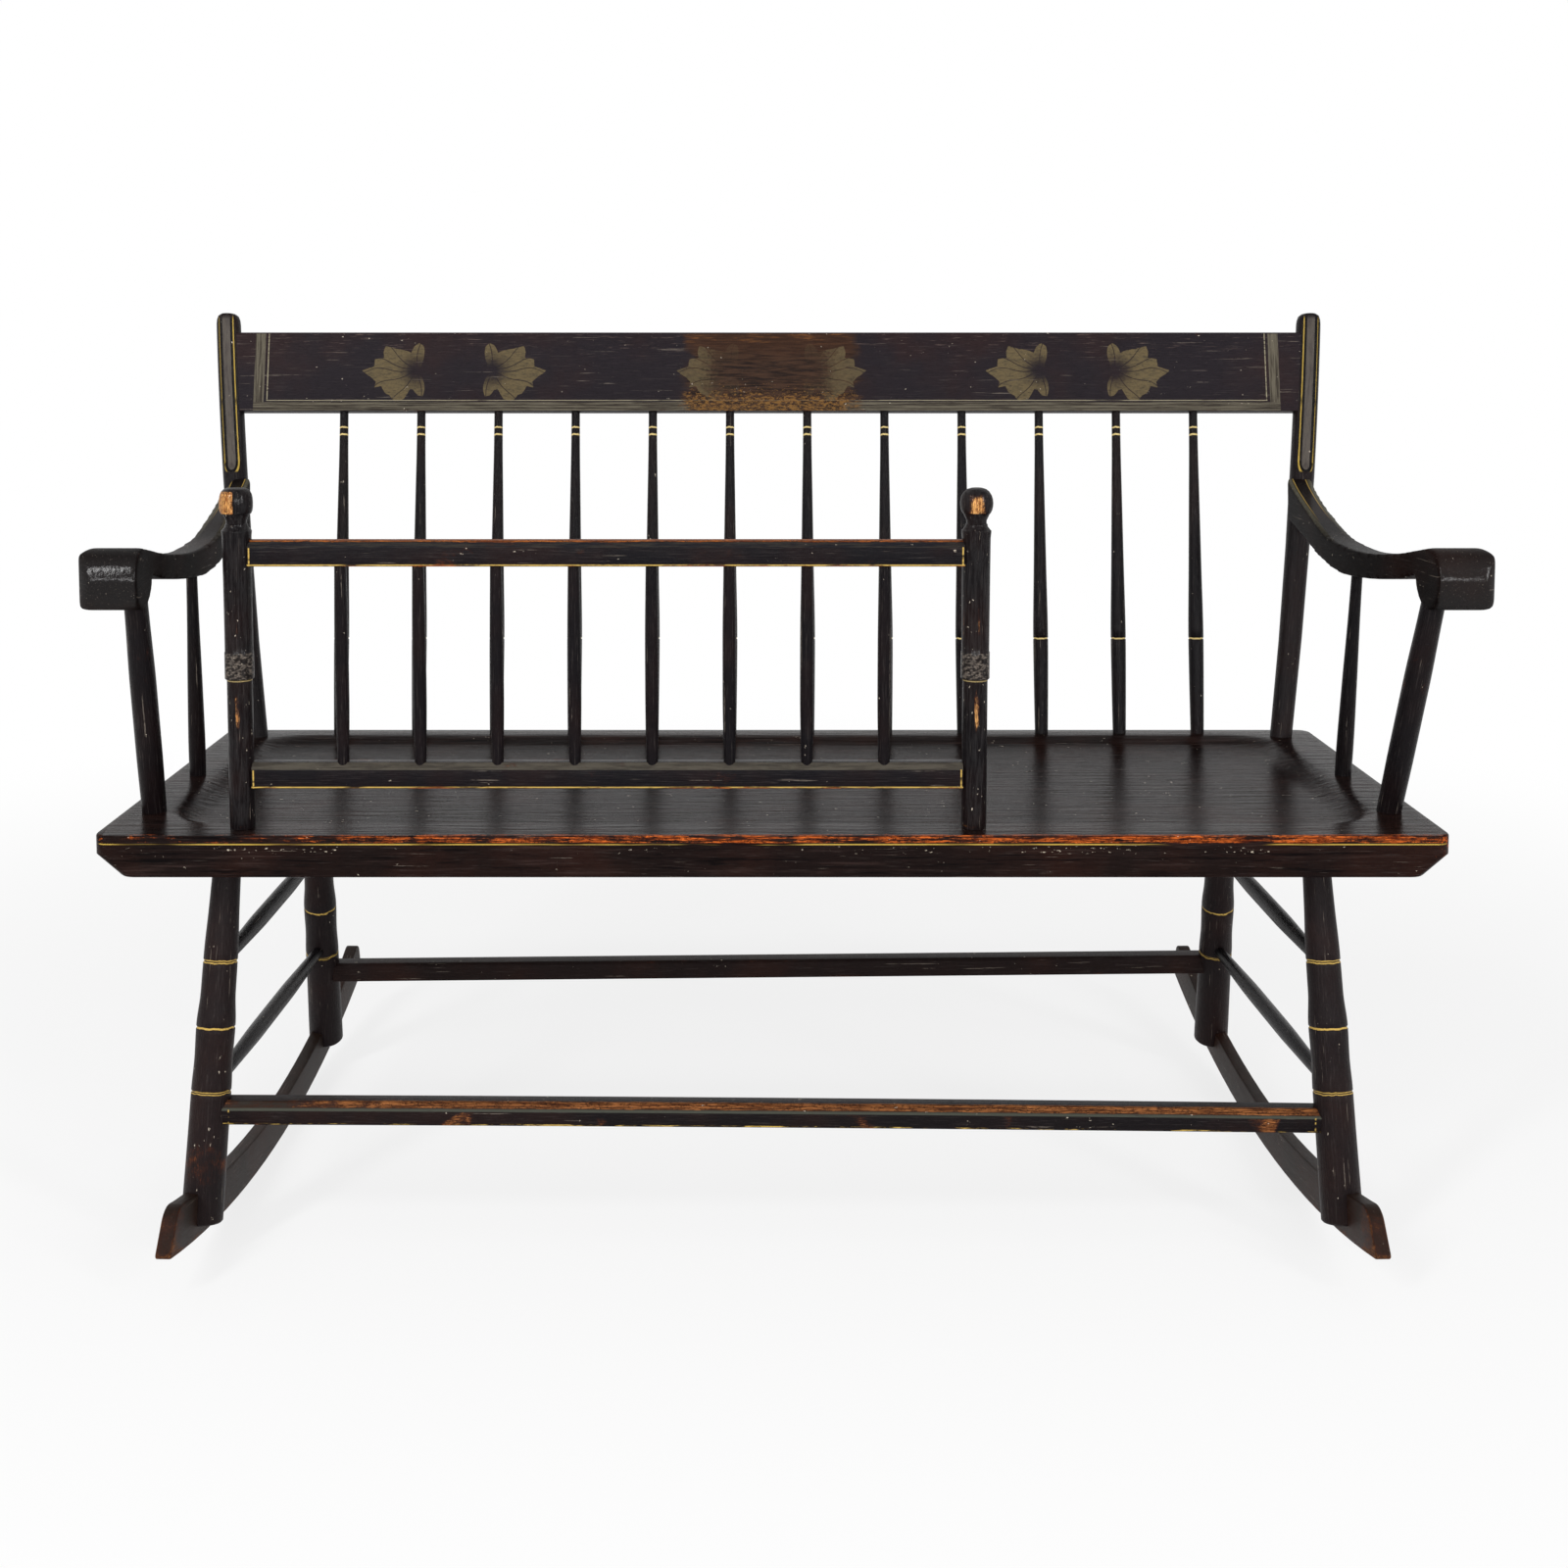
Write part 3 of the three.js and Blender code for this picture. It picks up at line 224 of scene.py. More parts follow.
def distance(one, other):
    return calc("SQRT", one * one + other * other)


print("masks ready")

# %% [markdown]
# ## Light and background
#
# The bench is nearly black, so what shapes it is the light that slides off its satin paint. Three lamps give long
# soft highlights: a window on the left, a weaker one on the right, and a low strip in front. The white surroundings
# fill the rest. The world is seen white by the camera and in reflections, and lights the wood more gently, so that
# the black stays black.

# %% Lamps
def lamp(name, place, aim, size, power):
    data = bpy.data.lights.new(name, "AREA")
    data.shape, data.energy = "RECTANGLE", power
    data.size, data.size_y = size
    light = bpy.data.objects.new(name, data)
    light.location = place
    light.rotation_euler = (Vector(aim) - Vector(place)).to_track_quat("-Z", "Y").to_euler()
    bpy.context.scene.collection.objects.link(light)
    print(name, "at", place, power, "W")


lamp("window_light", (-1.9, -2.6, 2.3), (0, 0, 0.45), (0.42, 1.5), 52)
lamp("fill_light", (2.3, -2.2, 1.7), (0, 0, 0.5), (0.34, 1.5), 30)
lamp("front_light", (0, -2.7, 1.0), (0, 0, 0.55), (3.4, 0.16), 32)


# %% World
LIGHT_ON_WOOD = 0.42


def seen_directly(tree):
    """1 where the camera or a reflection looks, 0 where light falls on something."""
    rays = put(tree, "ShaderNodeLightPath").outputs
    return Reading(rays["Is Camera Ray"]) | Reading(rays["Is Glossy Ray"])


world = bpy.data.worlds.new("white_room")
bpy.context.scene.world = world
world.use_nodes = True
sky = world.node_tree
sky.nodes.clear()
strength = reading("ShaderNodeMapRange", {"Value": seen_directly(sky), "To Min": LIGHT_ON_WOOD, "To Max": 1.0})
room = reading("ShaderNodeBackground", {"Color": (1, 1, 1, 1), "Strength": strength})
put(sky, "ShaderNodeOutputWorld", {"Surface": room})
bpy.context.scene.view_settings.view_transform = "Standard"
print("world: white when seen, gentler on the wood")

# %% [markdown]
# ## Wood that knows its own grain
#
# Old paint cracks and wears along the grain, and every piece's grain runs another way. So each piece carries an
# attribute named grain: its own place in millimetres as it lay on the workbench, with z along the wood. The
# finishes read that, so that streaks follow a leaning leg, and a ring can be painted at a measured height. A second
# attribute, own, is one number for each piece. It moves the noise along, so that no two legs wear the same streaks.

# %% The colours on the bench
BLACK, SEAT_BLACK, BROWN_BLACK = tone(17, 13, 16), tone(24, 17, 16), tone(32, 22, 17)
SPINDLE_BLACK = tone(14, 11, 14)
UNDERCOAT, SOOT = tone(54, 29, 21), tone(7, 6, 7)
BARE_DARK, BARE = tone(92, 42, 20), tone(196, 112, 46)
MUSTARD, OLD_GOLD, CREAM = tone(190, 158, 82), tone(172, 144, 66), tone(214, 190, 128)
BRONZE, LEAF_BRONZE, STRIPE_GREY = tone(98, 92, 79), tone(99, 86, 61), tone(84, 78, 72)
DUST, SCRATCH, NICK = tone(84, 77, 74), tone(128, 118, 108), tone(206, 194, 176)
BUMP_DEPTH = 0.0008
print("colours ready")


# %% The paint that everything wears
def blank_finish(name):
    material = bpy.data.materials.new(name)
    material.use_nodes = True
    material.node_tree.nodes.clear()
    print("finish:", name)
    return material, material.node_tree


def bumped(height, strength, depth=BUMP_DEPTH):
    return reading("ShaderNodeBump", {"Strength": strength, "Distance": depth, "Height": height})


def lay_on(tree, skin):
    """Ends a finish with one shader and its output."""
    put(tree, "ShaderNodeOutputMaterial", {"Surface": source(tree, "ShaderNodeBsdfPrincipled", 0, skin)})


def painted(name, colour=BLACK, brown=0.35, gloss=0.32, decorate=None, worn=None, bare=0.75, relief=1.0,
            wood=(BARE_DARK, BARE), nicked=0.0, shine=0.07, ripple=0.4, polish=None):
    """Aged oil paint. decorate(grain, colour) paints on it, worn(grain) says how much has gone, and
    polish(grain) how much varnish is left."""
    material, tree = blank_finish(name)
    grain = source(tree, "ShaderNodeAttribute", "Vector", attribute_name="grain")
    own = source(tree, "ShaderNodeAttribute", "Fac", attribute_name="own")
    place = source(tree, "ShaderNodeTexCoord", "Object")

    def along_grain(across, along, detail, roughness):
        moved = {0: stretched(grain, (across, across, along)), 1: own}
        return noise(reading("ShaderNodeVectorMath", moved, operation="ADD"), 1.0, detail, roughness)

    clouds, patches = noise(place, 11, 4), noise(place, 46, 5, 0.7)
    streaks = along_grain(0.9, 0.03, 5, 0.65)
    fine = along_grain(2.6, 0.16, 3, 0.6)
    scratches = along_grain(0.5, 0.014, 2, 0.5)
    paint = mix(edge(clouds, 0.40, 0.72, brown), colour, UNDERCOAT)
    paint = mix(edge(streaks, 0.54, 0.74, 0.32), paint, DUST)
    paint = mix(edge(fine, 0.46, 0.32, 0.7), paint, SOOT)
    paint = mix(edge(scratches, 0.69, 0.73, 0.5) * edge(fine, 0.4, 0.5), paint, SCRATCH)
    rough = streaks * 0.26 + (gloss - 0.1)
    if decorate:
        paint = decorate(grain, paint)
    if worn:
        mask = worn(grain) + (patches * 1.1 + (fine * 0.7 - 0.9))
        gone = edge(mask, 0.48, 0.60)
        timber = mix(edge(streaks, 0.40, 0.62), *wood)
        timber = mix(edge(fine, 0.50, 0.38, 0.8), timber, wood[0])
        cracks = abs(along_grain(0.28, 0.07, 4, 0.7) - 0.5)
        timber = mix(edge(cracks, 0.030, 0.012, 0.85), timber, SOOT)
        paint = mix(edge(mask, 0.34, 0.50, 0.8), paint, UNDERCOAT)
        paint = mix(gone * bare, paint, timber)
        rough = gone * 0.14 + rough
    specks = along_grain(0.34, 0.17, 3, 0.6) * edge(patches, 0.30 - nicked, 0.62 - nicked)
    paint = mix(edge(specks, 0.67, 0.70, 0.75), paint, NICK)
    crackle = reading("ShaderNodeTexVoronoi", {"Vector": stretched(grain, (0.42, 0.42, 0.14)), "Scale": 1.0},
                      feature="DISTANCE_TO_EDGE")
    height = streaks * 0.8 + edge(crackle, 0.0, 0.06, 0.25)
    height = patches * 0.45 + (fine * 0.5 + height)
    height = along_grain(0.14, 0.011, 3, 0.55) * ripple + height
    skin = {"Base Color": paint, "Roughness": rough, "Normal": bumped(height, 0.5 * relief),
            "Specular IOR Level": shine}
    if polish:
        skin |= {"Coat Weight": polish(grain), "Coat Roughness": 0.12, "Coat Normal": bumped(patches, 1.0)}
    lay_on(tree, skin)
    return material


print("paint relief:", BUMP_DEPTH / MM, "mm")

# %% [markdown]
# ## Gold rings
#
# The decorator rested a striping brush against the wood and turned it. A ring is therefore a narrow band at one
# height, a little uneven. In nodes that is the distance from a height, compared with half a width.

# %% Rings
def ringed(rings):
    """rings is a list of (height, width, colour), in millimetres up the piece."""
    def decorate(grain, paint):
        shake = figure(grain, (0.12, 0.12, 0.004), detail=2)
        along = shake * 3.2 + parts_of(grain)[2]
        thin = edge(figure(grain, (0.5, 0.5, 0.2), (7, 3, 1), 4, 0.7), 0.28, 0.42)
        for height, width, colour in rings:
            paint = mix(band(along, height + 1.6, width) * thin, paint, colour)
        return paint
    return decorate


print("rings ready")

# %% [markdown]
# ## Turning
#
# Legs, posts and spindles came off a lathe. Spinning an outline round an axis is the same act. The outline lists
# a radius and a distance, and long spans get extra points on a curve that never swells past the given ones,
# while short spans stay straight, so that the bamboo grooves keep their sharp shoulders.

# %% A smooth outline from a few measured points
LONG_SPAN, SPAN_STEPS = 9, 8


def eased(outline):
    slopes = [(b[0] - a[0]) / max(b[1] - a[1], 0.01) for a, b in zip(outline, outline[1:])]
    turns = [0 if s * t <= 0 else 2 * s * t / (s + t) for s, t in zip(slopes, slopes[1:])]
    turns = [slopes[0], *turns, slopes[-1]]
    line = [outline[0]]
    for i, (a, b) in enumerate(zip(outline, outline[1:])):
        run = b[1] - a[1]
        count = SPAN_STEPS if run > LONG_SPAN else 1
        for k in range(1, count + 1):
            t = k / count
            bend = (2 * t**3 - 3 * t**2 + 1) * a[0] + (3 * t**2 - 2 * t**3) * b[0]
            if count > 1:
                bend += run * ((t**3 - 2 * t**2 + t) * turns[i] + (t**3 - t**2) * turns[i + 1])
            line.append((bend, a[1] + run * t))
    return line


print("a span of 100 mm gets", len(eased([(5, 0), (6, 100)])) - 1, "steps")

# %% Finishing a mesh into a painted piece
SHARP, OWN_STEP = math.radians(38), 7.3
made_pieces = []


def all_of(shape):
    return shape.verts[:] + shape.edges[:] + shape.faces[:]


def move(shape, matrix):
    bmesh.ops.transform(shape, matrix=matrix, verts=shape.verts[:])


def keep_grain(shape, turn=Matrix.Identity(4)):
    """Writes each point's place in millimetres, before the piece is moved to where it belongs."""
    layer = shape.verts.layers.float_vector.new("grain")
    for point in shape.verts:
        point[layer] = turn @ point.co / MM


def as_object(shape, name):
    mesh = bpy.data.meshes.new(name)
    shape.to_mesh(mesh)
    shape.free()
    thing = bpy.data.objects.new(name, mesh)
    bpy.context.scene.collection.objects.link(thing)
    return thing


def make_piece(shape, node, finish, body="bench"):
    """Turns a bmesh into an object that stands for a CAD node and rides with its body."""
    for side in shape.edges:
        side.smooth = len(side.link_faces) == 2 and side.calc_face_angle(0) < SHARP
    for face in shape.faces:
        face.smooth = True
    own = shape.verts.layers.float.new("own")
    for point in shape.verts:
        point[own] = OWN_STEP * len(made_pieces)
    piece = as_object(shape, "painted_" + node)
    piece.data.materials.append(finish)
    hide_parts(node)
    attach(piece, body)
    made_pieces.append(node)


print("edges that fold more than", round(math.degrees(SHARP)), "degrees stay crisp")

# %% The lathe
def turned(outline, start, end, frame_in=SEAT, sides=36):
    """Spins an outline of (radius, distance from the start) and lays it between two points of a frame."""
    shape = bmesh.new()
    line = [(0, outline[0][1]), *outline, (0, outline[-1][1])]
    points = [shape.verts.new((radius * MM, 0, z * MM)) for radius, z in line]
    edges = [shape.edges.new(pair) for pair in zip(points, points[1:])]
    bmesh.ops.spin(shape, geom=points + edges, axis=(0, 0, 1), cent=(0, 0, 0), angle=math.tau, steps=sides,
                   use_merge=True)
    bmesh.ops.remove_doubles(shape, verts=shape.verts[:], dist=1e-6)
    bmesh.ops.recalc_face_normals(shape, faces=shape.faces[:])
    keep_grain(shape)
    start, end = frame_in @ Vector(start), frame_in @ Vector(end)
    move(shape, Matrix.Translation(start) @ (end - start).to_track_quat("Z", "Y").to_matrix().to_4x4())
    return shape


def grooved(radius, height, depth=0.9, half=1.6):
    return [(radius, height - half), (radius - depth, height - 0.25), (radius - depth, height + 0.25),
            (radius, height + half)]


print("lathe ready")

# %% [markdown]
# ## The legs
#
# Each leg is turned to look like bamboo: it fattens down to three grooved rings, with a slight waist between them.
# Its foot is forked over the rocker, and sawn off along the rocker's lower edge. The rocker simply passes through
# the foot here, which looks the same from outside. The front legs lean forward, the rear legs back, and all four
# lean out a little.

# %% The cut under a leg's foot
ROCKER_RADIUS, ROCKER_MIDDLE, SEAT_RISE, ROCKER_THICK = 1378, 261, 413, 14.5
FOOT_ABOVE_KEEL = 4.5


def saw_off(shape, place, away):
    """Saws through a place, drops what lies on the away side, and closes the cut."""
    cut = bmesh.ops.bisect_plane(shape, geom=all_of(shape), plane_co=place, plane_no=away, clear_outer=True)
    rim = [item for item in cut["geom_cut"] if isinstance(item, bmesh.types.BMEdge)]
    bmesh.ops.holes_fill(shape, edges=rim, sides=0)


def cut_to_rocker(shape, foot):
    """Saws a foot off along the rocker's lower edge, a little above it."""
    centre = Vector((0, ROCKER_MIDDLE, ROCKER_RADIUS - SEAT_RISE)) * MM
    down = (Vector((0, foot[1] * MM, foot[2] * MM)) - centre).normalized()
    saw_off(shape, SEAT @ (centre + down * (ROCKER_RADIUS - FOOT_ABOVE_KEEL) * MM), down)


print("feet end", FOOT_ABOVE_KEEL, "mm above the rockers' lower edge")

# %% Legs
# head, foot, the three rings' distances from the head, and the length
LEGS = {"front": ((531, 81, -40), (544.6, 13.3, -378.6), (101.6, 164.1, 224.2), 345.5),
        "rear": ((517, 384, -40), (530.5, 478.6, -376.7), (102.9, 166.3, 227.2), 350.0)}


def mirrored_point(point, sign):
    return (point[0] * sign, point[1], point[2])


def leg_wear(grain):
    """Kicked paint low on the left front leg."""
    return band(parts_of(grain)[2], 288, 36, 24) * 0.44 * edge(spot_of(grain)[0], 0.1, -0.1)


for place, (head, foot, (first, second, third), length) in LEGS.items():
    rings = [(first - 1.1, 1.0, MUSTARD), (first + 1.1, 1.0, MUSTARD), (second, 1.8, MUSTARD),
             (third - 1.0, 0.9, MUSTARD), (third + 1.0, 0.7, MUSTARD)]
    leg_paint = painted(f"leg_paint_{place}", tone(26, 20, 21), 0.25, 0.36, ringed(rings),
                        leg_wear if place == "front" else None, bare=0.45)
    outline = [(13, -24), (13, 0), (13.4, 14), (14.5, 52), *grooved(16.2, first), (16.5, (first + second) / 2),
               *grooved(18.4, second), (17.9, (second + third) / 2), *grooved(18.8, third), (18.9, 262),
               (19.5, length - 1.5), (18.2, length)]
    for side, sign in SIDES.items():
        start, end = mirrored_point(head, sign), mirrored_point(foot, sign)
        shape = turned(eased(outline), far(start), far(end), sides=44)
        cut_to_rocker(shape, end)
        make_piece(shape, f"leg_{place}_{side}", leg_paint)
print("legs:", len(made_pieces))

# %% [markdown]
# ## Side stretchers, arm supports and short spindles
#
# These are plain turnings: thin at the ends where they enter a hole, and fatter in the middle. The two side
# stretchers on each side run from leg to leg, so their ends are shares of the way down each leg.

# %% Side stretchers
def down_leg(place, sign, share):
    head, foot = (Vector(mirrored_point(point, sign)) for point in LEGS[place][:2])
    return head.lerp(foot, share)


plain_paint = painted("plain_turned_paint", tone(15, 13, 15), 0.10, 0.24)
for level, (front_share, rear_share) in {"upper": (0.306, 0.27), "lower": (0.643, 0.635)}.items():
    for side, sign in SIDES.items():
        start, end = down_leg("front", sign, front_share), down_leg("rear", sign, rear_share)
        run = (end - start).length
        outline = [(6.2, 4), (6.2, 17), (7.1, run * 0.18), (8.5, run * 0.38), (8.5, run * 0.62),
                   (7.1, run * 0.82), (6.2, run - 17), (6.2, run - 4)]
        shape = turned(eased(outline), far(start), far(end), sides=28)
        make_piece(shape, f"side_stretcher_{level}_{side}", plain_paint)
print("turned so far:", len(made_pieces))

# %% Arm supports and arm spindles
SUPPORT_FOOT, ARM_SPINDLE_FOOT = (605, 91, 0), (607, 243, 0)
SUPPORT_HEADS = {"left": (-603.9, 48.2, 210.2), "right": (627.2, 48.2, 210.2)}
ARM_SPINDLE_HEADS = {"left": (-606.4, 235.5, 216), "right": (614.4, 235.5, 216)}


def support_wear(grain):
    """A little rubbed below the hand."""
    return band(parts_of(grain)[2], 150, 90, 40) * 0.22


support_paint = painted("arm_support_paint", tone(17, 14, 16), 0.12, 0.24, worn=support_wear, bare=0.35)
for side, sign in SIDES.items():
    foot, head = Vector(mirrored_point(SUPPORT_FOOT, sign)), Vector(SUPPORT_HEADS[side])
    run = (head - foot).length
    outline = [(11.7, -22), (11.7, 0), (11.9, 20), (12.3, run * 0.3), (12.3, run * 0.62), (11.2, run - 14),
               (11, run + 10)]
    make_piece(turned(eased(outline), far(foot), far(head)), f"arm_support_{side}", support_paint)
    foot, head = Vector(mirrored_point(ARM_SPINDLE_FOOT, sign)), Vector(ARM_SPINDLE_HEADS[side])
    run = (head - foot).length
    outline = [(8.4, -22), (8.5, 0), (8.7, run * 0.12), (7.7, run * 0.45), (6.1, run * 0.8), (5.5, run + 6)]
    make_piece(turned(eased(outline), far(foot), far(head), sides=28), f"arm_spindle_{side}", plain_paint)
print("turned so far:", len(made_pieces))

# %% [markdown]
# ## Back spindles
#
# Twelve spindles stand in a row behind the sitter. Each is fattest at a single grooved ring and thins to the top,
# where the striper put two cream rings just under the crest rail. They fan out very slightly.

# %% Back spindles
SPINDLES, SPINDLE_FOOT_REACH, SPINDLE_HEAD_REACH = 12, 501.6, 506.0
SPINDLE_ROW, SPINDLE_TOP = 454, 382
spindle_rings = [(109.8, 1.7, CREAM), (351.0, 2.0, CREAM), (359.6, 1.8, CREAM)]
spindle_paint = painted("back_spindle_paint", SPINDLE_BLACK, 0.15, 0.22, ringed(spindle_rings))
for number in range(SPINDLES):
    share = number / (SPINDLES - 1) * 2 - 1
    foot = SEAT @ Vector(far((share * SPINDLE_FOOT_REACH, SPINDLE_ROW, 0)))
    head = LEAN @ Vector(far((share * SPINDLE_HEAD_REACH, 0, SPINDLE_TOP)))
    run = (head - foot).length / MM
    outline = [(7.5, -22), (7.6, 0), (7.8, 12), (8.5, 70), *grooved(8.75, 109.8, 0.7, 1.3), (7.5, 190), (6.1, 280),
               (5.2, 340), (5.0, run), (5.0, run + 10)]
    shape = turned(eased(outline), foot, head, Matrix.Identity(4), sides=28)
    make_piece(shape, f"back_spindle_{number + 1:02d}", spindle_paint)
print("turned so far:", len(made_pieces))

# %% [markdown]
# ## The guard's turnings
#
# The guard has two stout posts, each with a knob on a short neck, a bronze band at mid height, and a tenon that
# drops through the seat. They weren't turned as twins: the left knob is a barrel, and the right one is rounder, on
# a beaded neck. Hands have lifted the guard by the knobs for a hundred years and more, so the left half of one and
# the front of the other are worn to bare wood, and so are streaks down the shafts. The bare spot on the front of
# the
# right knob is also a painted highlight: brightest where it faces forward, and fading towards its rim. What is left
# of the varnish lies in streaks too, and that is where the light catches.

# %% Guard post finish
def guard_bands(grain, paint):
    """The bronze band at mid height, and the fine line under it."""
    along = parts_of(grain)[2]
    scratch = figure(grain, (0.24, 0.24, 0.44), (4, 4, 4), 4, 0.7)
    bronze = mix(edge(scratch, 0.44, 0.66), tone(24, 20, 19), tone(104, 95, 87))
    paint = mix(band(along, 155.5, 25, 0.3), paint, bronze)
    return mix(band(along, 141.6, 1.2), paint, tone(150, 132, 90))


def guard_post_wear_and_highlight(grain):
    """Worn on the side that faces a person who lifts the guard. The right knob's front spot is also a painted
    highlight.
    """
    along = parts_of(grain)[2]
    right, back, _ = facing_of(grain)
    front = right * -0.5 + back * -0.9
    half = edge(right * -0.98 + back * -0.12, 0.0, 0.12) * edge(front, -0.1, 0.2)
    # The right knob's spot is worn wood and a painted highlight, brightest facing forward and fading to the rim.
    spot = edge(abs(right + 0.02), 0.92, 0.15, 0.88) * edge(along, 323, 311) * edge(front, -0.1, 0.2)
    on_right_post = edge(spot_of(grain)[0], -0.2, -0.1)
    knob = between(on_right_post, half, spot) * (edge(along, 298, 300, 0.86) * edge(along, 322.6, 318))
    shaft = band(along, 190, 36, 30) | band(along, 108, 50, 26)
    streak = figure(grain, (0.15, 0.15, 0.011), (6, 1, 2), 2)
    streak = edge(front, 0.55, 0.9) * edge(streak, 0.50, 0.60, 0.58)
    foot = band(along, 3, 3, 4) * edge(front, 0.3, 0.8, 0.5)
    return knob | foot | shaft * streak


def post_varnish(grain):
    """What is left of the varnish, in streaks down the post."""
    return edge(figure(grain, (0.5, 0.5, 0.05), (8, 2, 5), 4, 0.7), 0.38, 0.60, 0.30)


print("guard post finish ready")

# %% Guard posts
GUARD_SPAN, GUARD_HEIGHT = 693, 323
GUARD_OUTLINE = [(8.5, -43.8), (8.5, 0), (11.7, 0), (11.75, 3), (11.75, 141.6), (13.5, 143.2), (13.5, 167.8),
                 (13.0, 169), (13.1, 210), (13.4, 276), (14.0, 281.6), (13.9, 282.7), (13.0, 283.5), (10.6, 286.6),
                 (10.4, 288.6), (9.5, 289.4), (9.5, 292.2), (11.6, 296.8), (12.0, 298.0)]
KNOBS = {"left": [(13.7, 298.6), (14.9, 301.2), (15.4, 304.8), (15.5, 309), (15.2, 313.4), (14.5, 316.8),
                  (13.1, 319.6), (11.0, 321.6), (8.4, 322.6), (4.4, 322.9), (1.5, GUARD_HEIGHT)],
         "right": [(13.0, 298.8), (14.5, 301.8), (15.3, 305.2), (15.5, 308.6), (15.1, 312.4), (13.9, 316),
                   (11.8, 319.2), (8.9, 321.6), (4.9, 322.8), (1.5, GUARD_HEIGHT)]}
# The pale wood on the right knob's front also stands for a painted highlight.
guard_post_paint_and_highlight = painted("guard_post_paint_and_highlight", tone(15, 12, 14), 0.18, 0.28, guard_bands, guard_post_wear_and_highlight, bare=0.9,
                           wood=(tone(136, 80, 38), tone(240, 180, 108)), nicked=0.09, shine=0.04,
                           polish=post_varnish)
for side, x in {"left": 0, "right": GUARD_SPAN}.items():
    shape = turned(eased(GUARD_OUTLINE + KNOBS[side]), far((x, 0, 0)), far((x, 0, GUARD_HEIGHT)), GUARD, sides=48)
    make_piece(shape, f"guard_post_{side}", guard_post_paint_and_highlight, body="guard")
print("turned so far:", len(made_pieces))

# %% Guard spindles
GUARD_RAIL_HEIGHTS = {"bottom": 51.03, "top": 261.63}
GUARD_RAIL = (18, 24)
GUARD_SPINDLES, GUARD_SPINDLE_PITCH, GUARD_SPINDLE_SHIFT = 8, 73, 5.5
low, high = GUARD_RAIL_HEIGHTS["bottom"] + GUARD_RAIL[1] / 2, GUARD_RAIL_HEIGHTS["top"] - GUARD_RAIL[1] / 2
run = high - low
guard_spindle_paint = painted("guard_spindle_paint", SPINDLE_BLACK, 0.15, 0.22)
for number in range(GUARD_SPINDLES):
    x = GUARD_SPAN / 2 + GUARD_SPINDLE_SHIFT + (number - (GUARD_SPINDLES - 1) / 2) * GUARD_SPINDLE_PITCH
    outline = [(5.4, -6), (5.5, 0), (5.7, run * 0.06), (6.5, run * 0.35), (6.5, run * 0.6), (5.7, run * 0.94),
               (5.4, run + 6)]
    shape = turned(eased(outline), far((x, 0, low)), far((x, 0, high)), GUARD, sides=24)
    make_piece(shape, f"guard_spindle_{number + 1}", guard_spindle_paint, body="guard")
print("turned so far:", len(made_pieces))

# %% [markdown]
# ## Planed rails
#
# The guard's rails and the two long stretchers are square sticks with one corner planed off. A cube is stretched
# to size, its corner gets its chamfer, and the rest of the edges are only broken. The grain runs along x, so the
# grain attribute is turned: z is along the stick, x is its depth and y its height.

# %% The plane
ALONG_X = Matrix(((0, 1, 0, 0), (0, 0, 1, 0), (1, 0, 0, 0), (0, 0, 0, 1)))


def soften(shape, edges, size, segments):
    """Rounds edges to a size in millimetres. One segment is a chamfer."""
    edges = [e for e in edges if e.is_valid]
    bmesh.ops.bevel(shape, geom=edges, offset=size * MM, segments=segments, profile=0.5, affect="EDGES",
                    material=-1)


def block(width, depth, height):
    shape = bmesh.new()
    bmesh.ops.create_cube(shape, size=1)
    bmesh.ops.scale(shape, vec=far((width, depth, height)), verts=shape.verts[:])
    return shape


def stick(left, right, depth, height, chamfer):
    """A square stick between two points, with its top front corner planed off."""
    shape = block(right[0] - left[0], depth, height)
    soften(shape, [e for e in shape.edges if all(v.co.y < 0 and v.co.z > 0 for v in e.verts)], chamfer, 1)
    soften(shape, shape.edges[:], 0.8, 2)
    bmesh.ops.recalc_face_normals(shape, faces=shape.faces[:])
    keep_grain(shape, ALONG_X)
    return shape


def settle(shape, left, right, frame_in, bow=0.0, tilt=0.0):
    """Cuts the stick into lengths, bows it a little as old sticks are, and moves it between its two points."""
    half = (right[0] - left[0]) / 2 * MM
    for share in np.linspace(-0.9, 0.9, 19):
        bmesh.ops.bisect_plane(shape, geom=all_of(shape), plane_co=(share * half, 0, 0), plane_no=(1, 0, 0))
    for point in shape.verts:
        share = point.co.x / half
        point.co.z += (bow * (1 - share**2) + tilt * share) * MM
    middle = (Vector(left) + Vector(right)) / 2 * MM
    move(shape, frame_in @ Matrix.Translation(middle))
    return shape


print("plane ready")

# %% [markdown]
# ## Pinstripes along a rail
#
# On the front of each rail a gold line runs along the lower edge and up the ends, and the planed corner above is
# bronzed. The face's coordinates are the grain attribute again, so each line is a band at a measured place.

# %% Rail finishes
def boxed(length, height, slope_colour, shade, kept=(0.34, 0.50), lip=None):
    """Gold lines round a rail's front face, and a colour on the planed corner above it. A lip is the height and
    colour of one more line, under that corner."""
    def decorate(grain, paint):
        _, up, along = parts_of(grain)
        _, back, top = facing_of(grain)
        thin = figure(grain, (0.3, 0.3, 0.035), (5, 1, 2), 4, 0.7)
        dull = mix(edge(thin, 0.35, 0.62), tone(58, 54, 48), slope_colour)
        paint = mix(edge(back, -0.3, -0.45) * edge(top, 0.3, 0.45) * shade, paint, dull)
        if lip:
            paint = mix(band(up, lip[0], 2.2, 0.5) * edge(thin, 0.25, 0.4, 0.9), paint, lip[1])
        lines = band(up, 1.3 - height / 2, 1.2) | band(abs(along), length / 2 - 2.2, 1.3)
        return mix(lines * edge(back, -0.8, -0.95) * edge(thin, *kept), paint, MUSTARD)
    return decorate


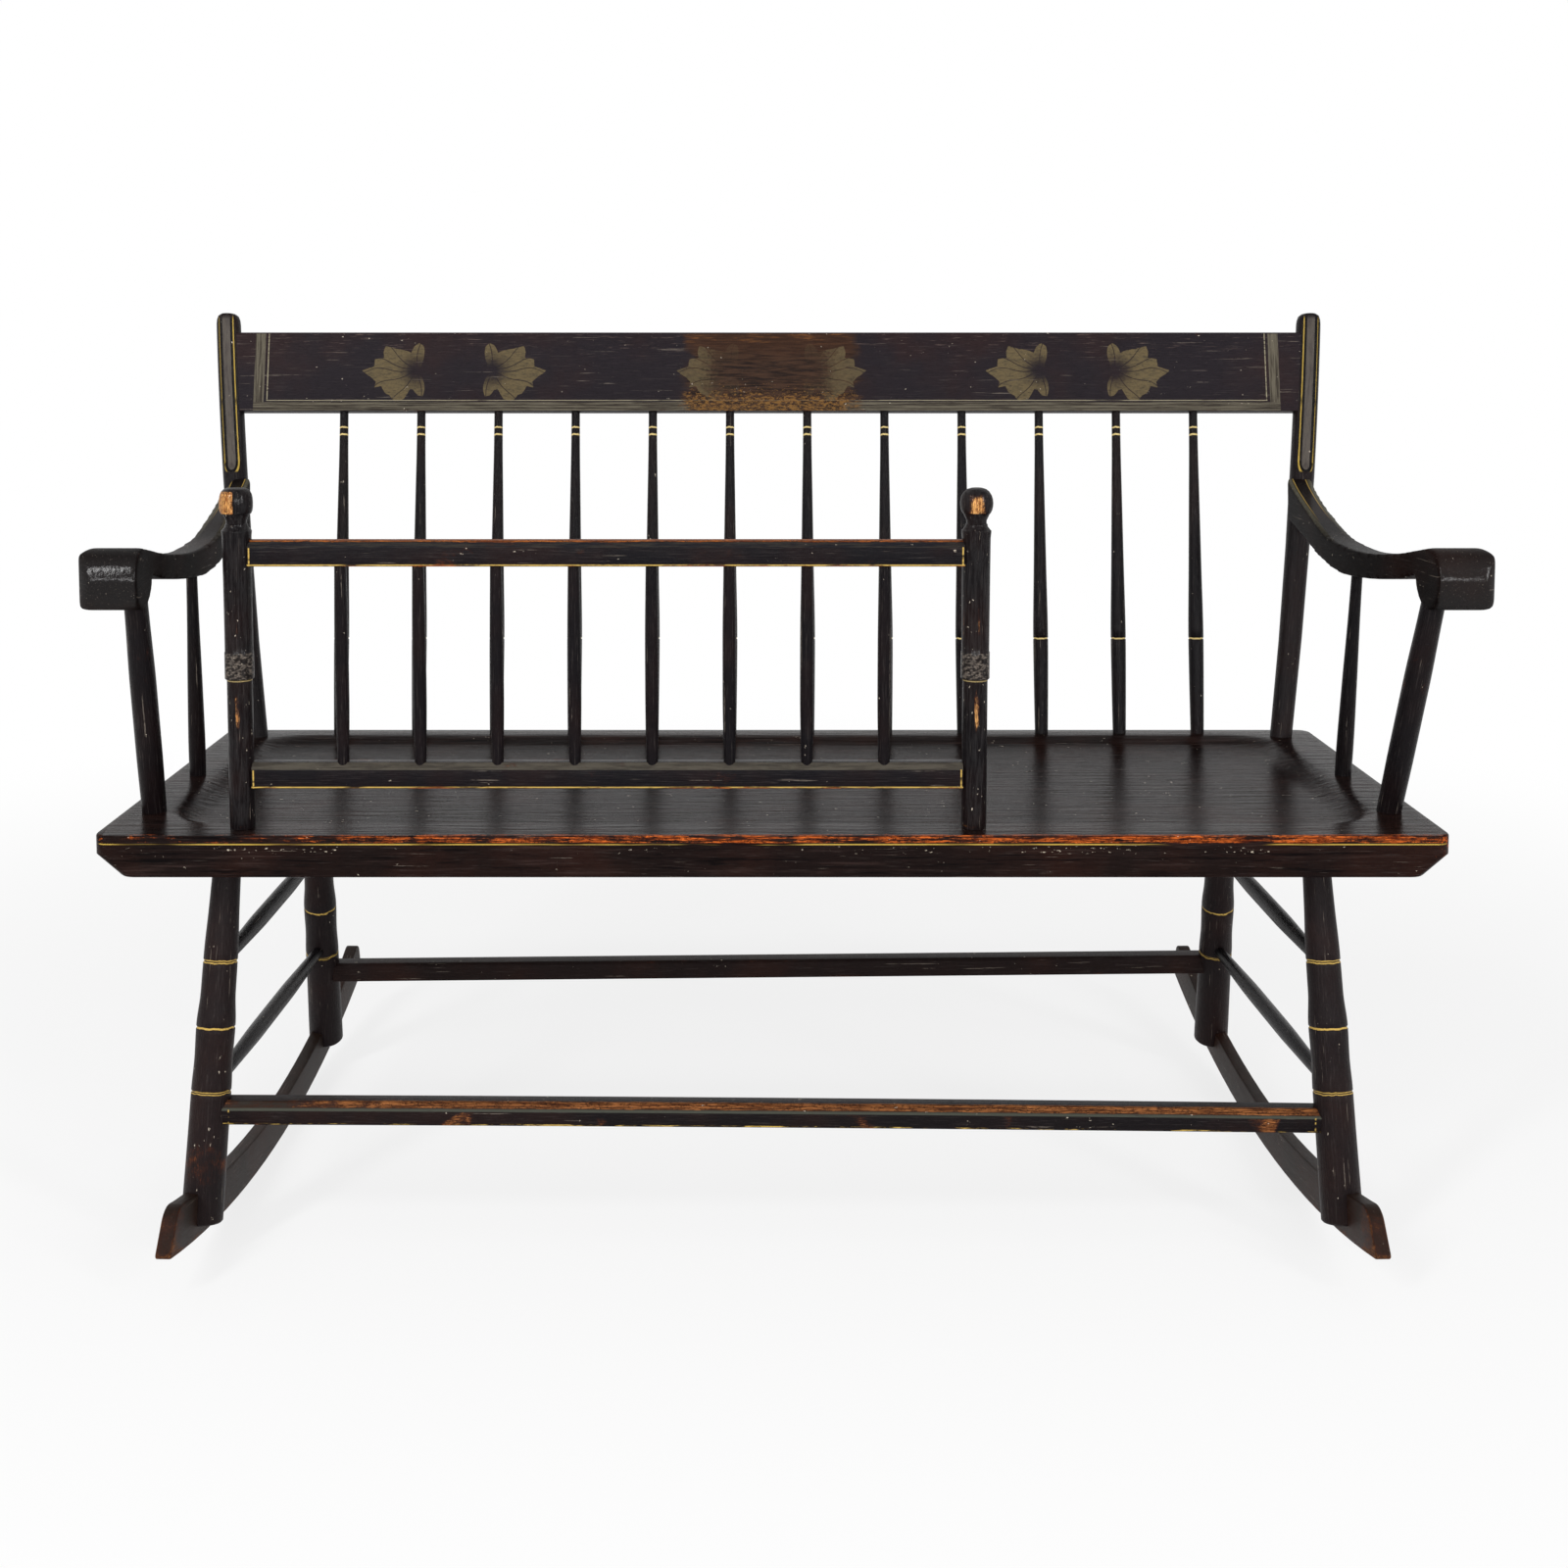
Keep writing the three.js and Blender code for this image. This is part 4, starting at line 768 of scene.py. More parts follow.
def rail_wear(depth, height, share, patch_share, crown=0.0):
    """Rubbed along its edges, in patches, and on its crown."""
    def worn(grain):
        across, up, _ = parts_of(grain)
        inside = (depth / 2 - abs(across)) | (height / 2 - abs(up))
        rim = edge(inside, 3.0, 0.4, share) | edge(up, height / 2 - 2.2, height / 2 - 0.4, crown)
        patch = figure(grain, (0.05, 0.05, 0.012), (3, 9, 4), 2)
        return rim + edge(patch, 0.5, 0.68, patch_share)
    return worn


print("rail finishes ready")

# %% Guard rails
RAIL_INSET, RAIL_CHAMFER = 11, 6
RAIL_SLOPES = {"bottom": (tone(82, 77, 68), 0.85), "top": (tone(26, 26, 32), 0.6)}
RAIL_CROWNS = {"bottom": 0.0, "top": 0.72}
for place, height in GUARD_RAIL_HEIGHTS.items():
    left, right = (RAIL_INSET, 0, height), (GUARD_SPAN - RAIL_INSET, 0, height)
    rail_paint = painted(f"guard_rail_paint_{place}", tone(13, 11, 15), 0.22, 0.26,
                         boxed(right[0] - left[0], GUARD_RAIL[1], *RAIL_SLOPES[place]),
                         rail_wear(*GUARD_RAIL, 0.4, 0.28, RAIL_CROWNS[place]), bare=0.8)
    shape = settle(stick(left, right, *GUARD_RAIL, RAIL_CHAMFER), left, right, GUARD)
    make_piece(shape, f"guard_rail_{place}", rail_paint, body="guard")
print("pieces so far:", len(made_pieces))


# %% Long stretchers
def stretcher_wear(grain):
    """Feet have rubbed the planed corner of the front stretcher to bare wood along most of its length."""
    across, up, along = parts_of(grain)
    slope = edge(up, 5.0, 6.4) * edge(across, 1.0, -3.5, 0.72) * (edge(along, -620, -330) | 0.55)
    spots = figure(grain, (0.02, 0.02, 0.016), (2, 5, 1), 1)
    return slope | edge(spots, 0.58, 0.66) * edge(up, 3.6, 2.6, 0.5)


STRETCHER = (22, 21)
STRETCHER_INSET, LINES_INSET = 14, 10
# share down the leg, planed corner, bow and tilt, the last three in millimetres
STRETCHERS = {"front": (0.712, 6.5, 1.2, -4.2), "rear": (0.71, 3, 0.0, 5.0)}
for place, (share, chamfer, bow, tilt) in STRETCHERS.items():
    left, right = down_leg(place, -1, share), down_leg(place, 1, share)
    left.x += STRETCHER_INSET
    right.x -= STRETCHER_INSET
    if place == "front":
        lip = (STRETCHER[1] / 2 - chamfer + 0.4, tone(66, 68, 60))
        lines = boxed(right.x - left.x - LINES_INSET, STRETCHER[1], tone(60, 40, 26), 0.5, (0.50, 0.62), lip)
        finish = painted("front_stretcher_paint", tone(17, 13, 15), 0.25, 0.30, lines, stretcher_wear, bare=0.9,
                         wood=(tone(74, 40, 20), tone(164, 104, 58)))
    else:
        finish = painted("rear_stretcher_paint", tone(27, 18, 17), 0.4, 0.46,
                         worn=rail_wear(*STRETCHER, 0.2, 0.22), bare=0.4)
    shape = settle(stick(left, right, *STRETCHER, chamfer), left, right, SEAT, bow, tilt)
    make_piece(shape, f"{place}_stretcher", finish)
print("pieces so far:", len(made_pieces))

# %% [markdown]
# ## The rockers
#
# Each rocker is sawn from a board to the arc of a circle more than a metre in radius, and its front tip is left
# taller and cut on a slant. A short upright edge is spun through that arc about the circle's middle, which gives
# the side of the rocker in one move. Then it gets its thickness, its four corners are rounded, and its long edges
# are eased.

# %% The rocker's side
ROCKER_FRONT, ROCKER_TAIL = -math.asin(342.5 / ROCKER_RADIUS), math.asin(394 / ROCKER_RADIUS)
ROCKER_HEIGHT, TIP_RISE, TAIL_RISE, TIP_SLANT = 0.036, 0.007, 0.009, 20
KEEL_LIFT, BLANK_HEIGHT = 0.16, 0.043


def rocker_side():
    """The side of a rocker in its own frame: y along it from the seat's front, z up from the seat's top."""
    shape = bmesh.new()
    centre = Vector((0, ROCKER_MIDDLE * MM, (ROCKER_RADIUS - SEAT_RISE) * MM))
    radius = (ROCKER_RADIUS - KEEL_LIFT) * MM
    tip = Vector((0, math.sin(ROCKER_FRONT), -math.cos(ROCKER_FRONT)))
    points = [shape.verts.new(centre + tip * r) for r in (radius, radius - BLANK_HEIGHT)]
    bmesh.ops.spin(shape, geom=points + [shape.edges.new(points)], axis=(1, 0, 0), cent=centre,
                   angle=ROCKER_TAIL - ROCKER_FRONT, steps=22)
    for point in shape.verts:
        arm = point.co - centre
        angle = math.atan2(arm.y, -arm.z)
        if arm.length < radius - 0.01:
            to_tip, to_tail = max(angle / ROCKER_FRONT, 0), max(angle / ROCKER_TAIL * 3 - 2, 0)
            reach = radius - ROCKER_HEIGHT - TIP_RISE * to_tip - TAIL_RISE * to_tail
            angle += TIP_SLANT / ROCKER_RADIUS * max(to_tip * 2 - 1, 0)
            point.co = centre + Vector((0, reach * math.sin(angle), -reach * math.cos(angle)))
    return shape, centre, radius


print("rocker arc:", round(math.degrees(ROCKER_TAIL - ROCKER_FRONT), 1), "degrees")

# %% Its thickness and its rounded corners
def thicken(shape, faces, vector):
    """Pulls faces out to a solid that lies half to each side of where they were."""
    pulled = bmesh.ops.extrude_face_region(shape, geom=faces)
    lifted = [item for item in pulled["geom"] if isinstance(item, bmesh.types.BMVert)]
    bmesh.ops.translate(shape, vec=vector, verts=lifted)
    bmesh.ops.translate(shape, vec=-vector / 2, verts=shape.verts[:])


def thick_rocker():
    shape, centre, radius = rocker_side()
    thicken(shape, shape.faces[:], Vector((ROCKER_THICK * MM, 0, 0)))
    bmesh.ops.recalc_face_normals(shape, faces=shape.faces[:])
    ends = [e for e in shape.edges if abs(e.verts[0].co.x - e.verts[1].co.x) > 0.01
            and e.calc_face_angle(0) > math.radians(50)]
    high_ends = [e for e in ends if (e.verts[0].co - centre).length < radius - 0.01]
    low_ends = [e for e in ends if e not in high_ends]
    soften(shape, high_ends, 13, 6)
    soften(shape, low_ends, 6, 4)
    soften(shape, [e for e in shape.edges if e.calc_face_angle(0) > math.radians(60)], 1.6, 3)
    bmesh.ops.recalc_face_normals(shape, faces=shape.faces[:])
    grain = shape.verts.layers.float_vector.new("grain")
    for point in shape.verts:
        arm = point.co - centre
        along = math.atan2(arm.y, -arm.z) * ROCKER_RADIUS
        point[grain] = (point.co.x / MM, (radius - Vector((0, arm.y, arm.z)).length) / MM, along)
    return shape


print("rocker board:", ROCKER_THICK, "mm thick")

# %% Rockers
ROCKER_APART, TOE_IN = 0.551002, 0.03024


def rocker_wear(grain):
    """Scuffed at the tip, along the keel and on the edges."""
    across, up, along = parts_of(grain)
    return edge(along, -290, -345, 0.44) + edge(up, 7, 1.5, 0.22) + edge(abs(across), 5.2, 7.0, 0.2)


rocker_paint = painted("rocker_paint", BROWN_BLACK, 0.6, 0.44, worn=rocker_wear,
                       wood=(tone(56, 34, 20), tone(134, 84, 46)))
for side, sign in SIDES.items():
    shape = thick_rocker()
    move(shape, SEAT @ Matrix.Translation((ROCKER_APART * sign, 0, 0)) @ Matrix.Rotation(TOE_IN * sign, 4, "Z"))
    make_piece(shape, f"rocker_{side}", rocker_paint)
print("pieces so far:", len(made_pieces))

# %% [markdown]
# ## The seat
#
# One wide plank makes the seat. Its ends are undercut so that it looks thinner than it is, its corners are
# rounded, its top front edge is worn round, and its top is scooped to a shallow dish that leaves a flat border. A
# cube gets its bevels first. Then it is cut into a fine grid, so that the scoop can be pressed into its top as a
# smooth slope.

# %% The seat's block
SEAT_SIZE = (1270, 470, 40)
END_LAND, END_UNDERCUT = 19, 24
SEAT_CORNER, SEAT_NOSE, SEAT_RIM, SEAT_ARRIS = 14, 6.5, 2.5, 1.5


def seat_block():
    shape = block(*SEAT_SIZE)
    bmesh.ops.translate(shape, vec=far((0, SEAT_SIZE[1] / 2, -SEAT_SIZE[2] / 2)), verts=shape.verts[:])
    soften(shape, [e for e in shape.edges if abs(e.verts[0].co.z - e.verts[1].co.z) > 0.01], SEAT_CORNER, 6)
    bmesh.ops.bisect_plane(shape, geom=all_of(shape), plane_co=(0, 0, -END_LAND * MM), plane_no=(0, 0, 1))
    for point in shape.verts:
        if point.co.z < -0.039 and abs(point.co.x) > 0.5:
            point.co.x -= math.copysign(END_UNDERCUT * MM, point.co.x)
    rim = [e for e in shape.edges if all(abs(v.co.z) < 1e-5 for v in e.verts)]
    nose = [e for e in rim if all(v.co.y < 1e-4 for v in e.verts)]
    others = [e for e in rim if e not in nose]
    soften(shape, nose, SEAT_NOSE, 6)
    soften(shape, others, SEAT_RIM, 3)
    bottom = [e for e in shape.edges if all(v.co.z < -0.0399 for v in e.verts) and e.calc_face_angle(0) > 0.5]
    soften(shape, bottom, SEAT_ARRIS, 2)
    return shape


seat = seat_block()
print("seat block:", len(seat.faces), "faces")

# %% The scoop
SCOOP_MIDDLE, SCOOP_HALF = (0, 241.5), (589, 197.5)
SCOOP_CORNER, SCOOP_SLOPE, SCOOP_DEPTH = 62, 30, 8


def inside_scoop(x, y):
    """How far a point of the seat lies inside the scoop's rounded outline, in millimetres."""
    out_x = abs(x - SCOOP_MIDDLE[0]) - SCOOP_HALF[0] + SCOOP_CORNER
    out_y = abs(y - SCOOP_MIDDLE[1]) - SCOOP_HALF[1] + SCOOP_CORNER
    return SCOOP_CORNER - math.hypot(max(out_x, 0), max(out_y, 0)) - min(max(out_x, out_y), 0)


def cut_across(shape, axis, places):
    plane = Vector((0, 0, 0))
    plane[axis] = 1
    for spot in places:
        bmesh.ops.bisect_plane(shape, geom=all_of(shape), plane_co=plane * spot * MM, plane_no=plane)


cut_across(seat, 0, np.arange(-624, 625, 12))
cut_across(seat, 1, [*np.arange(42, 90, 4), *np.arange(96, 394, 14), *np.arange(396, 442, 4)])
for point in seat.verts:
    if point.co.z > -1e-5:
        depth = min(max(inside_scoop(point.co.x / MM, point.co.y / MM) / SCOOP_SLOPE, 0), 1)
        point.co.z -= SCOOP_DEPTH * MM * math.sin(depth * math.pi / 2) ** 1.5
bmesh.ops.recalc_face_normals(seat, faces=seat.faces[:])
keep_grain(seat, ALONG_X)
move(seat, SEAT)
print("seat:", len(seat.faces), "faces")

# %% [markdown]
# ## The seat's paint
#
# The top is dark, with a fine grain showing through and a soft polish from use. Knees and sleeves have worn the
# front edge through the black to a red ground and then to orange wood, in long broken streaks. A gold line ran
# along the edge, and parts of it are left, above a row of small pale chips. The right-hand corner is rubbed most.

# %% Seat finish
def seat_lines(grain, paint):
    depth, up, _ = parts_of(grain)
    front = edge(depth, 6.0, 2.0)
    bars = figure(grain, (0.16, 0.16, 0.0075), (9, 1, 6), 5, 0.7)
    paint = mix(edge(bars, 0.52, 0.72, 0.5), paint, tone(60, 46, 43))
    paint = mix(edge(bars, 0.46, 0.36, 0.8), paint, SOOT)
    chips = figure(grain, (0.55, 0.55, 0.20), (4, 7, 3), 3, 0.6)
    where = figure(grain, (0.02, 0.02, 0.012), (7, 1, 9), 2)
    chips = edge(edge(where, 0.40, 0.62) * 0.1 + chips, 0.735, 0.76) * band(up, -13.6, 6.0, 1.5)
    paint = mix(chips * front, paint, tone(190, 178, 160))
    thin = figure(grain, (0.1, 0.1, 0.006), (2, 2, 2), 3, 0.6)
    return mix(band(up, -8.4, 1.2) * front * edge(thin, 0.42, 0.54), paint, OLD_GOLD)


def seat_wear(grain):
    """Worn in streaks along the front edge, and rubbed at the right-hand corner."""
    depth, up, along = parts_of(grain)
    streak = figure(grain, (0.34, 0.34, 0.016), (3, 3, 9), 5, 0.75)
    strong = streak * 2.4 + (edge(along, -560, -250) * 0.26 - 0.92)
    nose = edge(depth, 9.0, 3.0) * edge(up, -8.0, -6.5) * strong
    corner = edge(along, 606, 634) * edge(depth, 26, 8)
    return nose | corner * (streak * edge(up, -3, -8, 0.9))


seat_paint = painted("seat_paint", SEAT_BLACK, 0.3, 0.13, seat_lines, seat_wear, bare=0.95, relief=0.4,
                     wood=(tone(84, 30, 12), tone(214, 106, 42)), shine=0.018, ripple=9.0)
make_piece(seat, "seat_plank", seat_paint)
print("pieces so far:", len(made_pieces))

# %% [markdown]
# ## The back posts
#
# The two outer posts are turned, steamed so that they bow outwards, and shaved flat in front from the arm up. A
# turned shape is bent by moving its points sideways, and its front is pressed flat where the drawknife went. The
# flat starts as a tongue shape just above the arm.

# %% Post shape
POST_LENGTH, POST_RADIUS, POST_FOOT_X, POST_SPLAY, POST_BOW = 502, 14.3, 595, 54, 20
POST_FACE_START, POST_FACE_DEPTH = 307, 5


def post_middle(height):
    share = height / POST_LENGTH
    return POST_FOOT_X + POST_SPLAY * share + POST_BOW * share * (1 - share)


def post_shape(sign):
    outline = [(12.5, -30), (12.5, 0), (13.1, 110), (13.8, 220), (POST_RADIUS, POST_FACE_START - 4)]
    outline += [(POST_RADIUS, POST_FACE_START + step) for step in np.arange(0, 30, 1.5)]
    outline += [(POST_RADIUS, 345 + step) for step in np.arange(0, 140, 17)]
    outline += [(14.2, 489), (13.7, 494), (12.2, 498.6), (9.2, 501), (5, POST_LENGTH)]
    shape = turned(outline, (0, 0, 0), (0, 0, 1), Matrix.Identity(4), sides=72)
    layer = shape.verts.layers.float_vector["grain"]
    for point in shape.verts:
        height = point.co.z / MM
        if height > POST_FACE_START:
            flat = POST_RADIUS - min((height - POST_FACE_START) / POST_RADIUS, 1) * POST_FACE_DEPTH
            point.co.y = max(point.co.y, -flat * MM)
        point[layer] = (point.co.x / MM * sign, point.co.y / MM, height)
        point.co.x += post_middle(height) * MM * sign
    return shape


print("posts at mid height:", post_middle(POST_LENGTH / 2), "mm from the middle")

# %% [markdown]
# ## The posts' stripes
#
# On the flat, the decorator laid a broad grey stripe, outlined in black and then in gold, and closed it with a
# round end above the arm. Below that end, the distance is measured from the end's middle, and above it from the
# post's middle line, so one band makes both the sides and the round end. The inner gold line is the bolder one.

# %% Post finish
STRIPE_END = 318


def post_stripes(grain, paint):
    across, depth, along = parts_of(grain)
    off = across - 0.8
    reach = distance(off, ((along - STRIPE_END) & 0.0) * 0.62)
    front = edge(depth, -5.0, -7.5) * edge(along, POST_FACE_START, 310) * edge(along, 499, 492)
    thin = figure(grain, (0.4, 0.4, 0.05), detail=4, roughness=0.7)
    grey = mix(edge(thin, 0.3, 0.6), tone(66, 60, 58), STRIPE_GREY)
    paint = mix(front * edge(reach, 10.6, 10.2, 0.9), paint, SOOT)
    paint = mix(front * edge(reach, 4.9, 4.3), paint, grey)
    inside = edge(off, 2.0, -2.0)
    width = inside * 0.3 + (edge(along, 345, STRIPE_END) * 0.3 + 0.38)
    gold = edge(abs(reach - 8.3) - width, 0.25, -0.25) * (inside * 0.3 + 0.7)
    return mix(front * (gold * edge(thin, 0.28, 0.46)), paint, OLD_GOLD)


def post_wear(grain):
    """Rubbed at the very top."""
    return band(parts_of(grain)[2], 496, 12, 5) * 0.2


post_paint = painted("back_post_paint", tone(18, 14, 16), 0.2, 0.26, post_stripes, post_wear, bare=0.3)
for side, sign in SIDES.items():
    shape = post_shape(sign)
    move(shape, LEAN)
    make_piece(shape, f"back_post_{side}", post_paint)
print("pieces so far:", len(made_pieces))

# %% [markdown]
# ## The crest rail
#
# The crest rail is a thin board between the posts, with its edges eased. Its shape is simple, because its paint
# does the work: a bronze border with a fine line inside it, and three pairs of stencilled leaves.

# %% Crest shape
CREST_FOOT, CREST_LENGTH, CREST_HEIGHT, CREST_THICK = 382, 1282, 96, 18
crest = block(CREST_LENGTH, CREST_THICK, CREST_HEIGHT)
long_edges = [e for e in crest.edges if abs(e.verts[0].co.x - e.verts[1].co.x) > 0.1]
low_edges = [e for e in long_edges if e.verts[0].co.z < 0]
soften(crest, [e for e in long_edges if e not in low_edges], 3.8, 4)
soften(crest, low_edges, 1.2, 2)
cut_across(crest, 0, np.arange(-600, 601, 60))
keep_grain(crest, ALONG_X)
move(crest, LEAN @ Matrix.Translation(far((0, 0, CREST_FOOT + CREST_HEIGHT / 2))))
print("crest:", len(crest.faces), "faces")

# %% [markdown]
# ## Stencilled leaves
#
# Bronze powder was rubbed through a cut stencil onto tacky varnish: bright at the leaf's tips and fading to black
# where its stalk would be. It is a common vine leaf of the trade. A leaf is a curve of reach against direction,
# as on a compass. One float curve holds that outline, another says how far each direction is from a vein, and
# both leaves of a pair come from the same nodes by measuring from the pair's middle.

# %% A leaf's outline and veins
# Directions in turns: 0.25 is straight down, 0.5 outwards and 0.75 straight up. Reach in tenths of a metre.
LEAF_OUTLINE = [
    (0.0, 0.02), (0.13, 0.05), (0.165, 0.19), (0.19, 0.27), (0.212, 0.325), (0.24, 0.30), (0.27, 0.238),
    (0.300, 0.235), (0.312, 0.37), (0.325, 0.41), (0.3473, 0.45), (0.3786, 0.433), (0.40, 0.46), (0.4326, 0.455),
    (0.4375, 0.54), (0.456, 0.50), (0.4779, 0.549), (0.4997, 0.649), (0.5147, 0.508), (0.5426, 0.517),
    (0.5608, 0.417), (0.583, 0.46), (0.6063, 0.479), (0.63, 0.36), (0.6625, 0.291), (0.7022, 0.225), (0.735, 0.30),
    (0.7639, 0.336), (0.795, 0.30), (0.812, 0.24), (0.85, 0.10), (1.0, 0.02)]
LEAF_VEINS = [0.212, 0.347, 0.4375, 0.4997, 0.5426, 0.6063, 0.7639]
# each pair's middle along the crest, and how far from it the leaves' stalks would be
LEAF_PAIRS = [(-374.6, 45), (3.5, 48.5), (368.1, 45)]


def curve(value, points):
    """A float curve through (position, height), both from 0 to 1, straight from point to point."""
    bent = put(value.tree, "ShaderNodeFloatCurve", {"Value": value})
    line = bent.mapping.curves[0]
    line.points[0].location, line.points[1].location = points[0], points[-1]
    for spot in points[1:-1]:
        line.points.new(*spot)
    for point in line.points:
        point.handle_type = "VECTOR"
    bent.mapping.update()
    return Reading(bent.outputs[0])


def leaf_vein_curve():
    """How far a direction is from the nearest vein, in tenths of a turn."""
    points = [(0.0, 1.0), (0.14, 0.72)]
    for vein, following in zip(LEAF_VEINS, LEAF_VEINS[1:] + [0.9]):
        points += [(vein, 0.0), ((vein + following) / 2, (following - vein) * 5)]
    return points + [(1.0, 1.0)]


print("leaf:", len(LEAF_OUTLINE), "points and", len(LEAF_VEINS), "veins")

# %% The leaves' bronze
BARB_STEP = 9.5


def leaves(grain, paint):
    _, up, along = parts_of(grain)
    ragged = figure(grain, (0.3, 0.3, 0.3), detail=3)
    first, second, third = (abs(along - middle) - base for middle, base in LEAF_PAIRS)
    out, lift = first & second & third, up - 0.8
    reach = distance(out, lift)
    turn = calc("FRACT", calc("ARCTAN2", out, lift * -1.0) / math.tau + 0.25)
    inside = curve(turn, LEAF_OUTLINE) * 100.0 - (ragged * 2.0 + (reach - 1.0))
    turn = turn + calc("SINE", reach * 0.11) * 0.012
    off_vein = curve(turn, leaf_vein_curve()) * (0.1 * math.tau) * reach
    barbs = calc("FRACT", (reach - off_vein * 1.1) / BARB_STEP) * BARB_STEP
    ribs = edge(off_vein, 0.85, 0.35) | band(barbs, 4.0, 0.4, 0.3) * edge(reach, 22, 30, 0.35)
    glow = edge(ragged * 10.0 + reach, 9.0, 33.0)
    rubbed = figure(grain, (0.5, 0.5, 0.18), (3, 4, 5), 5, 0.7)
    powder = mix(edge(rubbed, 0.3, 0.60), tone(72, 64, 50), LEAF_BRONZE)
    mask = edge(inside, -0.2, 0.5) * glow * (ribs * -0.8 + 1.0) * edge(rubbed, 0.24, 0.40)
    outwards = abs(along)
    kept = edge(ragged * 40.0 + outwards, 74, 108) * 0.72 | edge(outwards, 150, 180) | 0.12
    return mix(mask * kept, paint, powder)


print("leaf bronze ready")

# %% [markdown]
# ## The crest's border and its worn middle
#
# The bronze border runs along the foot and up both ends, streaked the way that the brush went, with two darker
# lines in its foot. Backs have rubbed the middle of the crest to a thin brown film, orange at its top, and
# speckled with the border's gold along its foot. The middle pair of leaves is nearly lost in it.

# %% The worn middle
def worn_middle(grain, paint):
    """The paint with its rubbed film, and how much is left of a line drawn there."""
    _, up, along = parts_of(grain)
    cloud = figure(grain, (0.06, 0.06, 0.03), (3, 8, 1), 4, 0.6)
    patch = edge(cloud * -60.0 + abs(along - 3.0), 78, 58)
    rubbed = figure(grain, (0.35, 0.35, 0.03), (1, 2, 7), 5, 0.7)
    speckle = figure(grain, (0.5, 0.5, 0.22), (6, 2, 2), 5, 0.8)
    film = mix(edge(rubbed, 0.36, 0.62), tone(26, 17, 14), tone(66, 46, 34))
    film = mix(edge(up, 6, 34, 0.55), film, tone(60, 36, 22))
    gold = edge(edge(up, -14, -40) * 0.12 + speckle, 0.59, 0.66) * edge(up, -8, -20)
    film = mix(gold, film, tone(124, 88, 44))
    film = mix(edge(rubbed, 0.54, 0.64) * edge(up, 30, 40, 0.8), film, tone(114, 72, 36))
    return mix(patch * 0.92, paint, film), patch * -0.85 + 1.0


print("worn middle ready")

# %% Crest finish
def crest_decoration(grain, paint):
    depth, up, along = parts_of(grain)
    level = figure(grain, (0.3, 0.55, 0.02), (1, 6, 3), 4, 0.7)
    upright = figure(grain, (0.3, 0.02, 0.5), (5, 2, 8), 4, 0.7)
    ends = abs(along + 2.2)
    foot = edge(up, -37.2, -37.8) * edge(ends, 610.8, 610.2)
    bronze = mix(edge(between(foot, upright, level), 0.36, 0.60), tone(52, 46, 40), BRONZE)
    for height in (-41.0, -45.2):
        bronze = mix(band(up, height, 0.6, 0.3) * foot, bronze, tone(36, 31, 28))
    scuff = figure(grain, (0.55, 0.55, 0.03), (4, 9, 2), 4, 0.7)
    scuff = edge(scuff, 0.58, 0.68, 0.6) * edge(up, 6, 36)
    decorated = mix(scuff, paint, tone(108, 92, 86))
    decorated = mix(foot | band(ends, 604.3, 12.0, 0.3), decorated, bronze)
    decorated, unworn = worn_middle(grain, decorated)
    decorated = leaves(grain, decorated)
    line = band(up, -35.4, 0.9) * edge(ends, 595.4, 594.8) | band(ends, 594.4, 1.1) * edge(up, -36.0, -35.6)
    decorated = mix(line * edge(level, 0.34, 0.48) * unworn, decorated, tone(150, 142, 118))
    return mix(edge(depth, -8.2, -8.8), paint, decorated)


def crest_wear(grain):
    """Rubbed along the upper and the lower edge."""
    up = parts_of(grain)[1]
    return edge(up, 41, 46, 0.2) | edge(up, -45, -47.5, 0.3)


crest_paint = painted("crest_paint", tone(31, 26, 31), 0.3, 0.40, crest_decoration, crest_wear, bare=0.5)
make_piece(crest, "crest_rail", crest_paint)
print("pieces so far:", len(made_pieces))

# %% [markdown]
# ## The arms
#
# An arm is the hardest piece on the bench. It is sawn from one thick blank twice: first to an S seen from the side,
# with a rolled scroll at its front, and then to another S seen from above. Two prisms that cross do exactly that.
# Then the crossing is remeshed finely and rubbed smooth, as a spokeshave and sandpaper would do it.

# %% Curves for the saw
ARM_FRONT, ARM_RUN, ARM_LOW, ARM_RISE = 4, 496.8, 216, 83
ARM_INNER, ARM_FLARE = 597, 58
TUCKS = {"left": 28, "right": 0}
SCROLL_MIDDLE, SCROLL_RADIUS = (33.5, 236.75), 29.5
# (share of the run, share of the rise) from the side, and (share of the run, share of the flare) from above
ARM_TOP = [(1.03, 1.04), (0.944, 0.88), (0.84, 0.74), (0.7, 0.565), (0.564, 0.4), (0.45, 0.352), (0.33, 0.356),
           (0.2, 0.44), (0.124, 0.53)]
ARM_UNDER = [(0.176, 0.157), (0.316, 0.048), (0.466, 0), (0.614, 0.078), (0.756, 0.217), (0.9, 0.33), (1.03, 0.405)]
ARM_INSIDE = [(0, 0.345), (0.11, 0.29), (0.21, 0.155), (0.41, 0), (0.61, 0), (0.81, 0.12), (1.06, 0.31)]
ARM_OUTSIDE = [(1.06, 0.83), (0.81, 0.56), (0.61, 0.475), (0.46, 0.483), (0.31, 0.53), (0.21, 0.75), (0.11, 1.2),
               (0.055, 1.33), (0.018, 1.28), (0, 1.13)]


def flowing(points, steps=10):
    """A curve through the points, with the same slope on both sides of each."""
    points = np.array(points, float)
    before, after = np.vstack([points[:1], points[:-1]]), np.vstack([points[1:], points[-1:]])
    slopes = (after - before) / 2
    line = []
    for a, b, s, t in zip(points, points[1:], slopes, slopes[1:]):
        for k in np.arange(steps) / steps:
            line.append((2 * k**3 - 3 * k**2 + 1) * a + (k**3 - 2 * k**2 + k) * s
                        + (3 * k**2 - 2 * k**3) * b + (k**3 - k**2) * t)
    return [*line, points[-1]]


